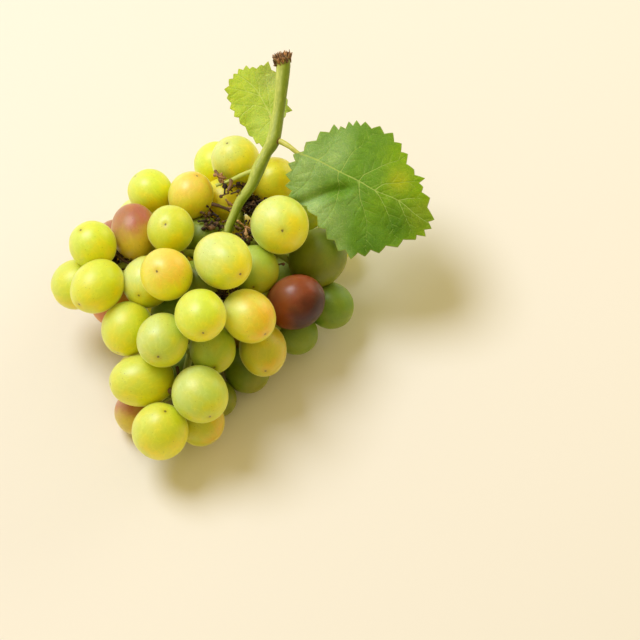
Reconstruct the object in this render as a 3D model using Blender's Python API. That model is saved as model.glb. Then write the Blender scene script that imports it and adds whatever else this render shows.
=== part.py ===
"""A bunch of green table grapes with its cut stalk and two leaves, lying on a table.

Sizes below are in millimetres and the meshes are in metres, +Z up. The origin is on the table,
under the middle of the whole bunch.

Every place is written as (across, up, height). An eye in front of the bunch looks down on it at
LOOK_DOWN above level: across and up are measured square to that line of sight, and height is
measured over the table. place() turns the three into x, y and z.
"""

import math
import random

import bmesh
import bpy
import numpy as np
from mathutils import Matrix, Vector

MM = 0.001
LOOK_DOWN = math.radians(60.0)
RISE = math.sin(LOOK_DOWN)
LEAN = math.cos(LOOK_DOWN)
MIDDLE_X = 18.48
MIDDLE_Y = 13.63

# Berries
BERRY_SIDES = 10
BERRY_RINGS = 6
BERRY_STRETCH = 1.05
FLAT_SPOT_SINK = 0.5
SQUEEZE = 0.3

# How berries settle: the share of an overlap pushed out in one step, how much of a push goes
# across the line of sight, the pulls back to the start across it and along it, and the steps
PUSH_SHARE = 0.3
ACROSS_SHARE = 0.35
PULL_ACROSS = 0.02
PULL_ALONG = 0.004
SEEN_STEPS = 400
HIDDEN_STEPS = 150
LAST_STEPS = 60
NO_NEIGHBOUR = 1e6
LEAST_DISTANCE = 0.01

# Stems
PEDICEL_RADIUS = 1.1
PEDICEL_SINK = 2.0
PEDICEL_DEPTH = 4.0
PEDICEL_FLARE = 1.5
PEDICEL_STEPS = 40
PEDICEL_SIDES = 5
RACHIS_SIDES = 8
BRANCH_SIDES = 6
STALK_SIDES = 12
TWIG_SIDES = 5
LEAF_STALK_SIDES = 6
FINE_STEPS = 3
COARSE_STEPS = 2
GOLDEN_ANGLE = 2.39996
RACHIS_ROOM = 2.6
STALK_ROOM = 0.6
STALK_RADIUS = 3.4
TWIG_RADIUS = 1.5
NODE_GAP = 0.65

# Leaves
BLADE_THICKNESS = 0.7
BLADE_ARCH = 0.0035
BLADE_RINGS = (1.0, 0.84, 0.6, 0.32)
EDGE_WAVES = 5.0
EDGE_WAVE_START = 0.7
SHARP_ANGLE = math.radians(50.0)

# Berries that the eye sees: name, across, up, height, width, and where the dry flower scar
# sits on the face turned to the eye, in berry radii across and up, or None where it is hidden
BERRIES = [
    ("crown_right", 15.0, 77.5, 48, 21.6, None),
    ("crown_left", 6.0, 76.5, 40, 19.8, None),
    ("back_left", -23.0, 63.5, 40, 20.4, None),
    ("back_amber", -4.5, 62.0, 48, 20.6, None),
    ("blush_left", -29.5, 45.0, 44, 22.0, (0.15, -0.95)),
    ("upper_left", -13.0, 46.0, 56, 21.2, (-0.17, 0.17)),
    ("wing_top", -47.5, 38.5, 46, 20.8, None),
    ("wing_tip", -54.0, 22.5, 36, 22.4, None),
    ("wing_front", -44.0, 21.0, 47, 23.2, (-0.58, -0.62)),
    ("left_pale", -23.5, 22.0, 48, 22.4, (-0.27, -0.51)),
    ("left_amber", -14.0, 26.0, 61, 22.6, (-0.33, 0.10)),
    ("top_pale", 10.5, 31.5, 61, 25.0, (0.55, -0.43)),
    ("top_under", 24.5, 28.0, 45, 21.8, None),
    ("shoulder_big", 35.0, 47.5, 57, 25.6, (0.10, -0.22)),
    ("purple_right", 42.0, 14.5, 38, 24.6, None),
    ("leaf_shade_big", 52.0, 34.0, 33, 25.8, None),
    ("leaf_shade_low", 57.5, 12.5, 18, 20.8, None),
    ("right_floor", 42.0, 0.5, 13, 19.4, None),
    ("middle_bright", 0.5, 7.5, 60, 22.4, (0.12, -0.63)),
    ("middle_amber", 22.0, 7.5, 51, 23.2, (0.59, -0.63)),
    ("right_olive", 27.5, -7.0, 30, 22.2, None),
    ("middle_green", 6.0, -7.0, 41, 20.6, (0.09, -0.72)),
    ("front_pale", -15.0, -3.0, 50, 23.2, (-0.11, -0.58)),
    ("left_front", -31.5, 2.5, 39, 23.0, (-0.33, -0.90)),
    ("long_left", -24.5, -20.5, 31, 24.6, (-0.97, -0.10)),
    ("low_middle", 1.0, -26.0, 36, 24.4, (0.35, -0.75)),
    ("tip", -16.5, -41.5, 22, 24.4, (0.21, 0.70)),
    ("tip_blush", -27.5, -35.0, 10, 20.8, None),
    ("tip_olive", 0.5, -38.0, 13, 21.2, None),
    ("tip_brown", 7.0, -29.5, 8.5, 17.6, None),
    ("low_right", 19.0, -15.5, 12, 20.6, None),
    ("deep_left", -12.5, 9.5, 34, 19.8, None),
    ("deep_front", -6.0, -14.0, 22, 19.2, None),
    ("deep_middle", -0.5, 22.5, 40, 19.8, None),
    ("neck_green", 1.5, 42.0, 36, 20.6, None),
    ("crown_behind", 32.5, 68.5, 38, 21.4, None),
    ("crown_deep", 9.5, 60.5, 33, 20.4, None),
    ("wing_blush", -38.0, 42.0, 28, 19.4, None),
    ("wing_green", -29.5, 51.5, 25, 19.4, None),
    ("wing_under", -39.5, 14.0, 24, 20.4, None),
    ("leaf_under_back", 45.0, 57.0, 26, 20.6, None),
    ("leaf_under_low", 57.0, 40.0, 11, 20.0, None),
]

# Berries on the table that carry the bunch: x and y under the middle berries, and width
FEET = [
    (-30.0, 20.0, 21.0),
    (-8.0, 38.0, 20.0),
    (18.0, 44.0, 21.0),
    (40.0, 26.0, 21.0),
    (-12.0, -8.0, 20.4),
]

# Hidden berries stand on a staggered grid in layers over the table
HIDDEN_SEED = 3
HIDDEN_SPACING = 6.0
HIDDEN_LAYERS = [9.6 + 6.0 * k for k in range(7)]
HIDDEN_WIDTH = (17.6, 20.4)
HIDDEN_JITTER = 1.5
HIDDEN_REACH = 45.0
HIDDEN_CLEAR = -2.6
HIDDEN_RIM = 0.9
HIDDEN_RIM_POINTS = 16
HIDDEN_BEHIND = 2.0
HIDDEN_ROW_STEP = 0.87
HIDDEN_LAYER_SHIFT = 0.4
HIDDEN_RACHIS_ROOM = 1.6

# The main axis inside the bunch and its side branches: across, up, height, radius
RACHIS = [
    (11.3, 44.6, 45.9, 2.3),
    (5.0, 34.0, 41.0, 2.2),
    (1.0, 18.0, 37.0, 2.0),
    (-2.0, 2.0, 33.0, 1.8),
    (-5.0, -12.0, 28.0, 1.6),
    (-9.0, -26.0, 20.0, 1.3),
]
BRANCHES = [
    [(5.5, 35.0, 41.5, 1.7), (-12.0, 36.0, 41.0, 1.6), (-27.0, 33.0, 38.0, 1.5), (-39.0, 29.0, 36.0, 1.3)],
    [(8.0, 39.0, 43.5, 1.7), (21.0, 41.0, 40.0, 1.6), (34.0, 36.0, 34.0, 1.5), (46.0, 27.0, 28.0, 1.3)],
    [(9.0, 41.0, 44.5, 1.7), (16.0, 52.0, 38.0, 1.6), (20.0, 62.0, 38.0, 1.5), (19.0, 70.0, 40.0, 1.3)],
    [(6.5, 37.0, 42.5, 1.7), (-6.0, 48.0, 36.0, 1.5), (-16.0, 56.0, 34.0, 1.3)],
    [(1.0, 18.0, 37.0, 1.6), (14.0, 12.0, 34.0, 1.5), (26.0, 6.0, 28.0, 1.3)],
]

# The stalk from inside the bunch to its cut end, with two swollen nodes
STALK = [
    (11.4, 44.9, 46.0, 2.3),
    (14.5, 52.4, 49.5, 2.4),
    (17.6, 59.0, 53.0, 2.6),
    (22.4, 65.6, 57.0, 2.8),
    (25.5, 73.0, 60.5, 3.4),
    (29.0, 80.1, 64.0, 2.8),
    (32.1, 85.8, 67.0, 3.4),
    (34.3, 97.7, 72.0, 2.9),
    (35.6, 108.2, 77.0, 3.0),
    (36.5, 118.4, 81.5, 3.3),
    (35.7, 122.3, 83.5, 3.7),
]
TWIG = [
    (25.2, 73.0, 60.4, 1.5),
    (18.9, 70.8, 58.0, 1.3),
    (12.3, 67.8, 55.0, 1.1),
    (6.6, 66.0, 53.0, 1.0),
]
TWIG_FORKS = [
    [(9.0, 66.8, 53.8, 0.9), (8.0, 69.8, 54.6, 0.8), (6.2, 72.6, 54.4, 0.7)],
    [(13.5, 68.4, 55.5, 0.9), (13.0, 65.6, 56.0, 0.8), (11.8, 63.2, 55.6, 0.7)],
]

# The leaves: tooth tips round the edge from where the leaf stalk joins, the middle of the blade,
# the ends of its midrib (across, up) and their heights, tooth depth, edge wave and the droop of
# the near side; and the leaf stalk as across, up, height, radius
LARGE_LEAF = {
    "tips": [
        (46.6, 84.9), (52.8, 89.8), (59.0, 93.3), (62.0, 92.4), (65.6, 94.6), (69.1, 95.2), (73.0, 94.6),
        (79.6, 92.8), (85.4, 89.8), (89.3, 84.9), (92.0, 80.1), (94.6, 73.0), (99.4, 69.1), (98.6, 65.1),
        (101.6, 60.3), (103.4, 50.6), (102.1, 46.6), (99.4, 43.1), (95.0, 41.6), (87.0, 38.2),
        (78.8, 35.6), (72.6, 34.2), (66.4, 33.0), (60.7, 36.6), (55.9, 41.8), (51.9, 47.1), (47.6, 54.0),
        (41.8, 57.2), (38.8, 60.8), (37.4, 65.4), (37.6, 70.4), (38.7, 75.2), (40.9, 79.2),
    ],
    "middle": (69.0, 65.0),
    "base": (42.7, 80.1),
    "apex": (102.1, 48.0),
    "heights": (67.5, 51.0),
    "tooth": 1.7,
    "wave": 5.0,
    "droop": 0.3,
    "stalk": [
        (35.9, 84.9, 67.5, 1.3), (39.6, 82.6, 68.2, 1.1),
        (42.6, 80.2, 67.4, 1.0), (46.5, 77.6, 66.3, 0.8),
    ],
}
SMALL_LEAF = {
    "tips": [
        (27.3, 82.9), (24.4, 84.6), (21.1, 88.4), (17.2, 93.8), (14.5, 96.9), (12.6, 100.6),
        (11.2, 105.2), (10.1, 109.2), (12.1, 113.8), (14.1, 116.4), (16.3, 118.8), (19.8, 120.3),
        (22.6, 119.6), (26.4, 120.6), (29.5, 122.3), (33.6, 117.0), (36.6, 110.6), (38.4, 104.6),
        (40.5, 99.9), (37.2, 97.0),
    ],
    "middle": (23.0, 104.0),
    "base": (31.5, 95.6),
    "apex": (13.5, 115.0),
    "heights": (61.0, 68.0),
    "tooth": 1.2,
    "wave": 4.0,
    "droop": 0.0,
    "stalk": [
        (31.0, 85.0, 62.4, 1.2), (31.0, 90.0, 61.4, 1.1),
        (31.4, 95.0, 61.2, 1.0), (29.0, 98.4, 62.0, 0.8),
    ],
}

COLOURS = {
    "berry_cluster": (0.62, 0.66, 0.10),
    "stalk": (0.42, 0.47, 0.10),
    "large_leaf": (0.13, 0.32, 0.05),
    "small_leaf": (0.38, 0.50, 0.10),
}
ROUGHNESS = {"berry_cluster": 0.35, "stalk": 0.6, "large_leaf": 0.5, "small_leaf": 0.55}


def place(across, up, height):
    """The point of the bunch, in millimetres, that the eye sees at across and up, that high."""
    return np.array([across - MIDDLE_X, (up - height * LEAN) / RISE - MIDDLE_Y, height])


def seen_from_the_eye(points):
    """across, up and nearness to the eye of points given as x, y and z."""
    x = points[..., 0] + MIDDLE_X
    y = points[..., 1] + MIDDLE_Y
    z = points[..., 2]
    return np.stack([x, y * RISE + z * LEAN, z * RISE - y * LEAN], -1)


def off_line(points, line):
    """The shortest step from a line of points out to each point, and where on the line it starts."""
    best = None
    for start, end in zip(line[:-1], line[1:]):
        run = end - start
        share = np.clip(((points - start) @ run) / (run @ run), 0.0, 1.0)
        foot = start + share[:, None] * run
        step = points - foot
        far = np.linalg.norm(step, axis=1)
        if best is None:
            best = [far, step, foot]
            continue
        nearer = far < best[0]
        best[0] = np.where(nearer, far, best[0])
        best[1] = np.where(nearer[:, None], step, best[1])
        best[2] = np.where(nearer[:, None], foot, best[2])
    return best


def settle(centres, radii, fixed, lines, steps):
    """Pushes berries that overlap apart, mostly towards the eye or away from it, and off the stems."""
    eye = np.array([0.0, -LEAN, RISE])
    home = centres.copy()
    centres = centres.copy()
    loose = np.where(fixed, 0.0, 1.0)[:, None]
    for _ in range(steps):
        apart = centres[:, None] - centres[None]
        far = np.linalg.norm(apart, axis=2) + np.eye(len(centres)) * NO_NEIGHBOUR
        over = np.maximum(radii[:, None] + radii[None] - SQUEEZE - far, 0.0)
        push = (apart / far[..., None] * over[..., None]).sum(1) * PUSH_SHARE
        for line, room in lines:
            away, step, _ = off_line(centres, line)
            short = np.maximum(radii + room - away, 0.0)
            push += step / np.maximum(away, LEAST_DISTANCE)[:, None] * short[:, None] * PUSH_SHARE
        along = (push @ eye)[:, None] * eye
        back = home - centres
        back_along = (back @ eye)[:, None] * eye
        move = along + (push - along) * ACROSS_SHARE
        move += (back - back_along) * PULL_ACROSS + back_along * PULL_ALONG
        centres += move * loose
        low = radii - FLAT_SPOT_SINK - centres[:, 2]
        centres[:, 2] += np.maximum(low, 0.0) * loose[:, 0]
    return centres


def hidden_berries(centres, radii, line):
    """Berries on a staggered grid, kept where the eye can't see them and nothing else stands."""
    rng = random.Random(HIDDEN_SEED)
    turn = np.linspace(0.0, 2.0 * math.pi, HIDDEN_RIM_POINTS, endpoint=False)
    low = centres.min(0)
    high = centres.max(0)
    found = []
    for layer, height in enumerate(HIDDEN_LAYERS):
        rows = int((high[1] - low[1]) / (HIDDEN_SPACING * HIDDEN_ROW_STEP)) + 2
        for row in range(rows):
            for column in range(int((high[0] - low[0]) / HIDDEN_SPACING) + 2):
                radius = rng.uniform(*HIDDEN_WIDTH) / 2
                x = low[0] + (column + 0.5 * ((row + layer) % 2)) * HIDDEN_SPACING
                y = low[1] + (row + HIDDEN_LAYER_SHIFT * layer) * HIDDEN_SPACING * HIDDEN_ROW_STEP
                centre = np.array([x, y, height])
                centre += [rng.uniform(-1, 1) * HIDDEN_JITTER for _ in range(3)]
                centre[2] = max(centre[2], radius - FLAT_SPOT_SINK)
                every = np.vstack([centres] + [c for c, _ in found])
                every_radius = np.append(radii, [r for _, r in found])
                if (np.linalg.norm(every - centre, axis=1) - every_radius - radius).min() < HIDDEN_CLEAR:
                    continue
                away = off_line(centre[None], line)[0][0]
                if away < radius + HIDDEN_RACHIS_ROOM or away > HIDDEN_REACH:
                    continue
                view = seen_from_the_eye(centre)
                rim = view[:2] + np.stack([np.cos(turn), np.sin(turn)], 1) * radius * HIDDEN_RIM
                discs = seen_from_the_eye(centres)
                inside = np.linalg.norm(rim[:, None] - discs[None, :, :2], axis=2) < radii[None]
                nearer = discs[:, 2] > view[2] + HIDDEN_BEHIND
                if (inside & nearer[None]).any(1).all():
                    found.append((centre, radius))
    return found


def line_of(rows):
    return np.array([place(*row[:3]) for row in rows])


def all_berries():
    """Name, centre, radius and the way to the scar of every berry, and the stems they hang on."""
    lines = [
        (line_of(RACHIS), RACHIS_ROOM),
        (line_of(STALK), STALK_RADIUS + STALK_ROOM),
        (line_of(TWIG), TWIG_RADIUS + STALK_ROOM),
    ]
    names = [row[0] for row in BERRIES] + [f"foot_{k + 1}" for k in range(len(FEET))]
    centres = [place(*row[1:4]) for row in BERRIES]
    centres += [np.array([x - MIDDLE_X, y - MIDDLE_Y, width / 2 - FLAT_SPOT_SINK]) for x, y, width in FEET]
    centres = np.array(centres)
    radii = np.array([row[4] / 2 for row in BERRIES] + [width / 2 for _, _, width in FEET])
    fixed = np.array([False] * len(BERRIES) + [True] * len(FEET))
    centres = settle(centres, radii, fixed, lines, SEEN_STEPS)
    hidden = hidden_berries(centres, radii, lines[0][0])
    names += [f"hidden_{k + 1}" for k in range(len(hidden))]
    centres = np.vstack([centres] + [centre for centre, _ in hidden])
    radii = np.append(radii, [radius for _, radius in hidden])
    placed = np.arange(len(radii)) < len(fixed)
    centres = settle(centres, radii, placed, lines, HIDDEN_STEPS)
    feet = np.array([name.startswith("foot") for name in names])
    centres = settle(centres, radii, feet, lines, LAST_STEPS)

    stems = [line_of(RACHIS)] + [line_of(branch) for branch in BRANCHES]
    berries = []
    for k, name in enumerate(names):
        roots = [off_line(centres[k][None], stem) for stem in stems]
        root = min(roots, key=lambda one: one[0][0])
        outward = Vector(root[1][0]).normalized()
        scar = BERRIES[k][5] if k < len(BERRIES) else None
        if scar:
            facing = math.sqrt(max(0.0, 1.0 - scar[0] ** 2 - scar[1] ** 2))
            outward = Vector((scar[0], scar[1] * RISE - facing * LEAN, scar[1] * LEAN + facing * RISE))
        berries.append((name, Vector(centres[k]), radii[k], outward.normalized(), Vector(root[2][0])))
    return berries


def smooth_path(rows, steps):
    """Points and radii along a curve that passes through the rows."""
    points = [Vector(place(*row[:3])) for row in rows]
    radii = [row[3] for row in rows]
    path = []
    for k in range(len(points) - 1):
        before = points[max(k - 1, 0)]
        after = points[min(k + 2, len(points) - 1)]
        for step in range(steps):
            t = step / steps
            a = points[k] * (2 * t**3 - 3 * t**2 + 1) + (points[k + 1] - before) * 0.5 * (t**3 - 2 * t**2 + t)
            b = points[k + 1] * (3 * t**2 - 2 * t**3) + (after - points[k]) * 0.5 * (t**3 - t**2)
            path.append((a + b, radii[k] + (radii[k + 1] - radii[k]) * t))
    return path + [(points[-1], radii[-1])]


def tube(path, sides):
    """A closed tube round a path of points and radii."""
    bm = bmesh.new()
    across = None
    rings = []
    for k, (point, radius) in enumerate(path):
        ahead = path[min(k + 1, len(path) - 1)][0] - path[max(k - 1, 0)][0]
        ahead.normalize()
        across = ahead.orthogonal() if across is None else across - ahead * across.dot(ahead)
        across.normalize()
        side = ahead.cross(across)
        turn = Matrix((across, side, ahead)).transposed().to_4x4()
        frame = Matrix.Translation(point * MM) @ turn
        verts = bmesh.ops.create_circle(bm, segments=sides, radius=radius * MM, matrix=frame)["verts"]
        rings.append(verts)
    for first, second in zip(rings[:-1], rings[1:]):
        for k in range(sides):
            after = (k + 1) % sides
            bm.faces.new((first[k], first[after], second[after], second[k]))
    bm.faces.new(list(reversed(rings[0])))
    bm.faces.new(rings[-1])
    bmesh.ops.recalc_face_normals(bm, faces=bm.faces)
    return bm


def berry(centre, radius, outward, roll):
    """An egg-round berry on its axis, cut flat where it would sink into the table."""
    bm = bmesh.new()
    turn = outward.to_track_quat("Z", "Y").to_matrix().to_4x4() @ Matrix.Rotation(roll, 4, "Z")
    size = Matrix.Diagonal((radius * MM, radius * MM, radius * BERRY_STRETCH * MM, 1.0))
    frame = Matrix.Translation(centre * MM) @ turn @ size
    bmesh.ops.create_uvsphere(bm, u_segments=BERRY_SIDES, v_segments=BERRY_RINGS, radius=1.0, matrix=frame)
    parts = bm.verts[:] + bm.edges[:] + bm.faces[:]
    if min(vertex.co.z for vertex in bm.verts) < 0.0:
        cut = bmesh.ops.bisect_plane(
            bm, geom=parts, dist=1e-7, plane_co=(0, 0, 0), plane_no=(0, 0, -1), clear_outer=True
        )
        rim = [item for item in cut["geom_cut"] if isinstance(item, bmesh.types.BMEdge)]
        bmesh.ops.contextual_create(bm, geom=rim)
    bmesh.ops.recalc_face_normals(bm, faces=bm.faces)
    return bm


def pedicel(centre, radius, outward, root, others):
    """The straight stem of a berry, from its blunt end to its branch or into the berry in between."""
    neck = centre - outward * (radius * BERRY_STRETCH - PEDICEL_SINK)
    end = root
    for step in range(1, PEDICEL_STEPS):
        spot = neck + (root - neck) * (step / PEDICEL_STEPS)
        if any((spot - other).length < reach - PEDICEL_DEPTH for other, reach in others):
            end = spot
            break
    return tube([(end, PEDICEL_RADIUS), (neck, PEDICEL_RADIUS * PEDICEL_FLARE)], PEDICEL_SIDES)


def blade(leaf):
    """A toothed leaf: rings of its outline drawn in to the middle, alike on both faces."""
    middle = Vector(leaf["middle"])
    outline = []
    for tip, after in zip(leaf["tips"], leaf["tips"][1:] + leaf["tips"][:1]):
        valley = (Vector(tip) + Vector(after)) * 0.5
        outline += [Vector(tip), valley + (middle - valley).normalized() * leaf["tooth"]]
    count = len(outline)
    bm = bmesh.new()
    edges = []
    for side in (0.5, -0.5):
        rings = []
        for share in BLADE_RINGS:
            spots = [middle + (point - middle) * share for point in outline]
            rings.append([bm.verts.new(blade_point(leaf, spot, side)) for spot in spots])
        centre = bm.verts.new(blade_point(leaf, middle, side))
        for outer, inner in zip(rings[:-1], rings[1:]):
            for k in range(count):
                after = (k + 1) % count
                bm.faces.new((outer[k], outer[after], inner[after]))
                bm.faces.new((outer[k], inner[after], inner[k]))
        for k in range(count):
            bm.faces.new((rings[-1][k], rings[-1][(k + 1) % count], centre))
        edges.append(rings[0])
    for k in range(count):
        after = (k + 1) % count
        bm.faces.new((edges[0][k], edges[0][after], edges[1][after]))
        bm.faces.new((edges[0][k], edges[1][after], edges[1][k]))
    bmesh.ops.recalc_face_normals(bm, faces=bm.faces)
    return bm


def blade_point(leaf, spot, side):
    """A point of a blade: it sags from its leaf stalk to its tip, and its edge waves."""
    rib = Vector(leaf["apex"]) - Vector(leaf["base"])
    from_base = spot - Vector(leaf["base"])
    along = from_base.dot(rib) / rib.length_squared
    off = from_base.cross(rib) / rib.length
    out = spot - Vector(leaf["middle"])
    height = leaf["heights"][0] + (leaf["heights"][1] - leaf["heights"][0]) * along
    height -= BLADE_ARCH * off**2 + leaf["droop"] * max(off, 0.0)
    wave = math.sin(EDGE_WAVES * math.atan2(out.y, out.x) + EDGE_WAVE_START)
    height += leaf["wave"] * (out.length / rib.length) ** 2 * wave
    return Vector(place(spot.x, spot.y, height + side * BLADE_THICKNESS)) * MM


def finished(bm, name):
    mesh = bpy.data.meshes.new(name)
    bm.to_mesh(mesh)
    bm.free()
    return bpy.data.objects.new(name, mesh)


def united(name, body, others):
    """One node: the body and every other mesh joined into one skin."""
    obj = finished(body, name)
    bpy.context.scene.collection.objects.link(obj)
    helpers = bpy.data.collections.new(name + "_pieces")
    bpy.context.scene.collection.children.link(helpers)
    for k, other in enumerate(others):
        helpers.objects.link(finished(other, f"{name}_piece_{k + 1}"))
    join = obj.modifiers.new("join", "BOOLEAN")
    join.operation = "UNION"
    join.operand_type = "COLLECTION"
    join.collection = helpers
    join.solver = "EXACT"
    bpy.context.view_layer.update()
    graph = bpy.context.evaluated_depsgraph_get()
    mesh = bpy.data.meshes.new_from_object(obj.evaluated_get(graph))
    obj.modifiers.clear()
    obj.data = mesh
    mesh.name = name
    for helper in list(helpers.objects):
        bpy.data.objects.remove(helper)
    bpy.data.collections.remove(helpers)
    drop_scraps(mesh)
    return obj


def drop_scraps(mesh):
    """Keeps the largest skin of a mesh, without the crumbs and sealed specks that joining leaves."""
    bm = bmesh.new()
    bm.from_mesh(mesh)
    unseen = set(bm.faces)
    skins = []
    while unseen:
        skin = []
        front = [unseen.pop()]
        while front:
            face = front.pop()
            skin.append(face)
            for edge in face.edges:
                for other in edge.link_faces:
                    if other in unseen and len(edge.link_faces) == 2:
                        unseen.remove(other)
                        front.append(other)
        skins.append(skin)
    skins.sort(key=len)
    for skin in skins[:-1]:
        bmesh.ops.delete(bm, geom=skin, context="FACES")
    bm.to_mesh(mesh)
    bm.free()


def coloured(obj):
    """Gives the node its own material and smooth shading."""
    material = bpy.data.materials.new(obj.name)
    material.use_nodes = True
    shader = material.node_tree.nodes["Principled BSDF"]
    shader.inputs["Base Color"].default_value = (*COLOURS[obj.name], 1.0)
    shader.inputs["Roughness"].default_value = ROUGHNESS[obj.name]
    shader.inputs["Metallic"].default_value = 0.0
    obj.data.materials.clear()
    obj.data.materials.append(material)
    obj.data.shade_smooth()
    obj.data.set_sharp_from_angle(angle=SHARP_ANGLE)


def berry_cluster():
    pieces = [tube(smooth_path(branch, COARSE_STEPS), BRANCH_SIDES) for branch in BRANCHES]
    berries = all_berries()
    for k, (name, centre, radius, outward, root) in enumerate(berries):
        others = [(one[1], one[2]) for one in berries if one[0] != name]
        pieces.append(berry(centre, radius, outward, GOLDEN_ANGLE * k))
        pieces.append(pedicel(centre, radius, outward, root, others))
    return united("berry_cluster", tube(smooth_path(RACHIS, COARSE_STEPS), RACHIS_SIDES), pieces)


def stalk():
    path = smooth_path(STALK, FINE_STEPS)
    start = path[0][0] + (path[1][0] - path[0][0]).normalized() * NODE_GAP
    path[0] = (start, path[0][1])
    forks = [tube(smooth_path(rows, COARSE_STEPS), TWIG_SIDES) for rows in [TWIG] + TWIG_FORKS]
    return united("stalk", tube(path, STALK_SIDES), forks)


def leaf(name, shape):
    return united(name, blade(shape), [tube(smooth_path(shape["stalk"], COARSE_STEPS), LEAF_STALK_SIDES)])


for old in list(bpy.data.objects):
    bpy.data.objects.remove(old)
for node in (berry_cluster(), stalk(), leaf("large_leaf", LARGE_LEAF), leaf("small_leaf", SMALL_LEAF)):
    coloured(node)
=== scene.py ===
import math
import random

import bmesh
import bpy
import numpy as np
from mathutils import Matrix, Vector, noise


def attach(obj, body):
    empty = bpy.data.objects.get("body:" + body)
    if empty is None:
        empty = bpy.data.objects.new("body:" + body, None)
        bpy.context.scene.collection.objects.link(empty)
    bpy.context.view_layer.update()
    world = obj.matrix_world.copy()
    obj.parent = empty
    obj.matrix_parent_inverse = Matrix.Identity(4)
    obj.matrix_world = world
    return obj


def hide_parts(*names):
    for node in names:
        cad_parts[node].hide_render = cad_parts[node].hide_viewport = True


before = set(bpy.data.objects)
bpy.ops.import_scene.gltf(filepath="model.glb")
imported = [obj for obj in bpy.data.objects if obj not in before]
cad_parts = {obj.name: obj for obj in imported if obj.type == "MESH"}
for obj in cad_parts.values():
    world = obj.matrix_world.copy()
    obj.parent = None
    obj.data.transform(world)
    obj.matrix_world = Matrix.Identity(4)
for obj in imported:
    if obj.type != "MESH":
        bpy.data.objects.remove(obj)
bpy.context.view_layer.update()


# The eye
# The bunch lies on a table and is seen from in front and above, through a long lens.

# Every place below is (across, up, height) in millimetres: across and up are square to the line of
# sight, height is over the table. MIDDLE_X and MIDDLE_Y set the bunch over the frame's origin.
MM = 0.001
LOOK_DOWN = math.radians(60.0)
RISE = math.sin(LOOK_DOWN)
LEAN = math.cos(LOOK_DOWN)
MIDDLE_X = 18.48
MIDDLE_Y = 13.63
EYE_DISTANCE = 1.5
SEEN_WIDTH = 0.2816
PICTURE_CENTRE = (52.8, 6.2, 35.0)
TO_THE_EYE = Vector((0.0, -LEAN, RISE))


def place(across, up, height):
    return np.array([across - MIDDLE_X, (up - height * LEAN) / RISE - MIDDLE_Y, height])


def seen_from_the_eye(points):
    x = points[..., 0] + MIDDLE_X
    y = points[..., 1] + MIDDLE_Y
    z = points[..., 2]
    return np.stack([x, y * RISE + z * LEAN, z * RISE - y * LEAN], -1)


looked_at = Vector(place(*PICTURE_CENTRE)) * MM
camera = bpy.data.objects.new("camera", bpy.data.cameras.new("camera"))
bpy.context.scene.collection.objects.link(camera)
camera.location = looked_at + TO_THE_EYE * EYE_DISTANCE
camera.rotation_euler = (math.pi / 2 - LOOK_DOWN, 0.0, 0.0)
camera.data.sensor_width = 36.0
camera.data.lens = camera.data.sensor_width * EYE_DISTANCE / SEEN_WIDTH
camera.data.clip_start = 0.05
bpy.context.scene.camera = camera


# The table and the light
# A plain cream table top under one broad soft light from above and behind on the left, with a weak
# one from behind on the right and a warm fill from all round, as in a daylight studio.
TABLE_COLOUR = (0.90, 0.84, 0.79)
TABLE_SIDE = 4.0
KEY_PLACE = (-0.85, 0.60, 1.75)
KEY_SIZE = 1.1
KEY_POWER = 31.0
KEY_COLOUR = (0.87, 0.92, 1.0)
FILL_COLOUR = (1.0, 0.83, 0.37)
FILL_STRENGTH = 0.55
BACK_PLACE = (0.85, 0.75, 0.40)
BACK_SIZE = 0.8
BACK_POWER = 3.0
BACK_COLOUR = (1.0, 0.96, 0.80)


def material(name):
    """A new node material with its Principled shader."""
    made = bpy.data.materials.new(name)
    made.use_nodes = True
    return made, made.node_tree.nodes["Principled BSDF"]


bm = bmesh.new()
bmesh.ops.create_grid(bm, x_segments=1, y_segments=1, size=TABLE_SIDE / 2)
table_mesh = bpy.data.meshes.new("table_top")
bm.to_mesh(table_mesh)
bm.free()
table_top = bpy.data.objects.new("table_top", table_mesh)
bpy.context.scene.collection.objects.link(table_top)
cream, cream_shader = material("cream_table")
cream_shader.inputs["Base Color"].default_value = (*TABLE_COLOUR, 1.0)
cream_shader.inputs["Roughness"].default_value = 0.75
table_mesh.materials.append(cream)

for name, spot, size, power, colour in (
    ("window_light", KEY_PLACE, KEY_SIZE, KEY_POWER, KEY_COLOUR),
    ("back_light", BACK_PLACE, BACK_SIZE, BACK_POWER, BACK_COLOUR),
):
    light = bpy.data.objects.new(name, bpy.data.lights.new(name, "AREA"))
    light.data.shape = "DISK"
    light.data.size = size
    light.data.energy = power
    light.data.color = colour
    light.location = Vector(spot)
    light.rotation_euler = (-Vector(spot)).to_track_quat("-Z", "Y").to_euler()
    bpy.context.scene.collection.objects.link(light)

bpy.context.scene.view_settings.view_transform = "Standard"

world = bpy.data.worlds.new("soft_room")
bpy.context.scene.world = world
world.use_nodes = True
world.node_tree.nodes["Background"].inputs["Color"].default_value = (*FILL_COLOUR, 1.0)
world.node_tree.nodes["Background"].inputs["Strength"].default_value = FILL_STRENGTH


# Berries
# Each berry is a slightly egg-shaped fruit: juicy flesh in a thin waxy skin. It hangs on its own
# short stem, presses on its neighbours and settles where they leave room.

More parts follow.
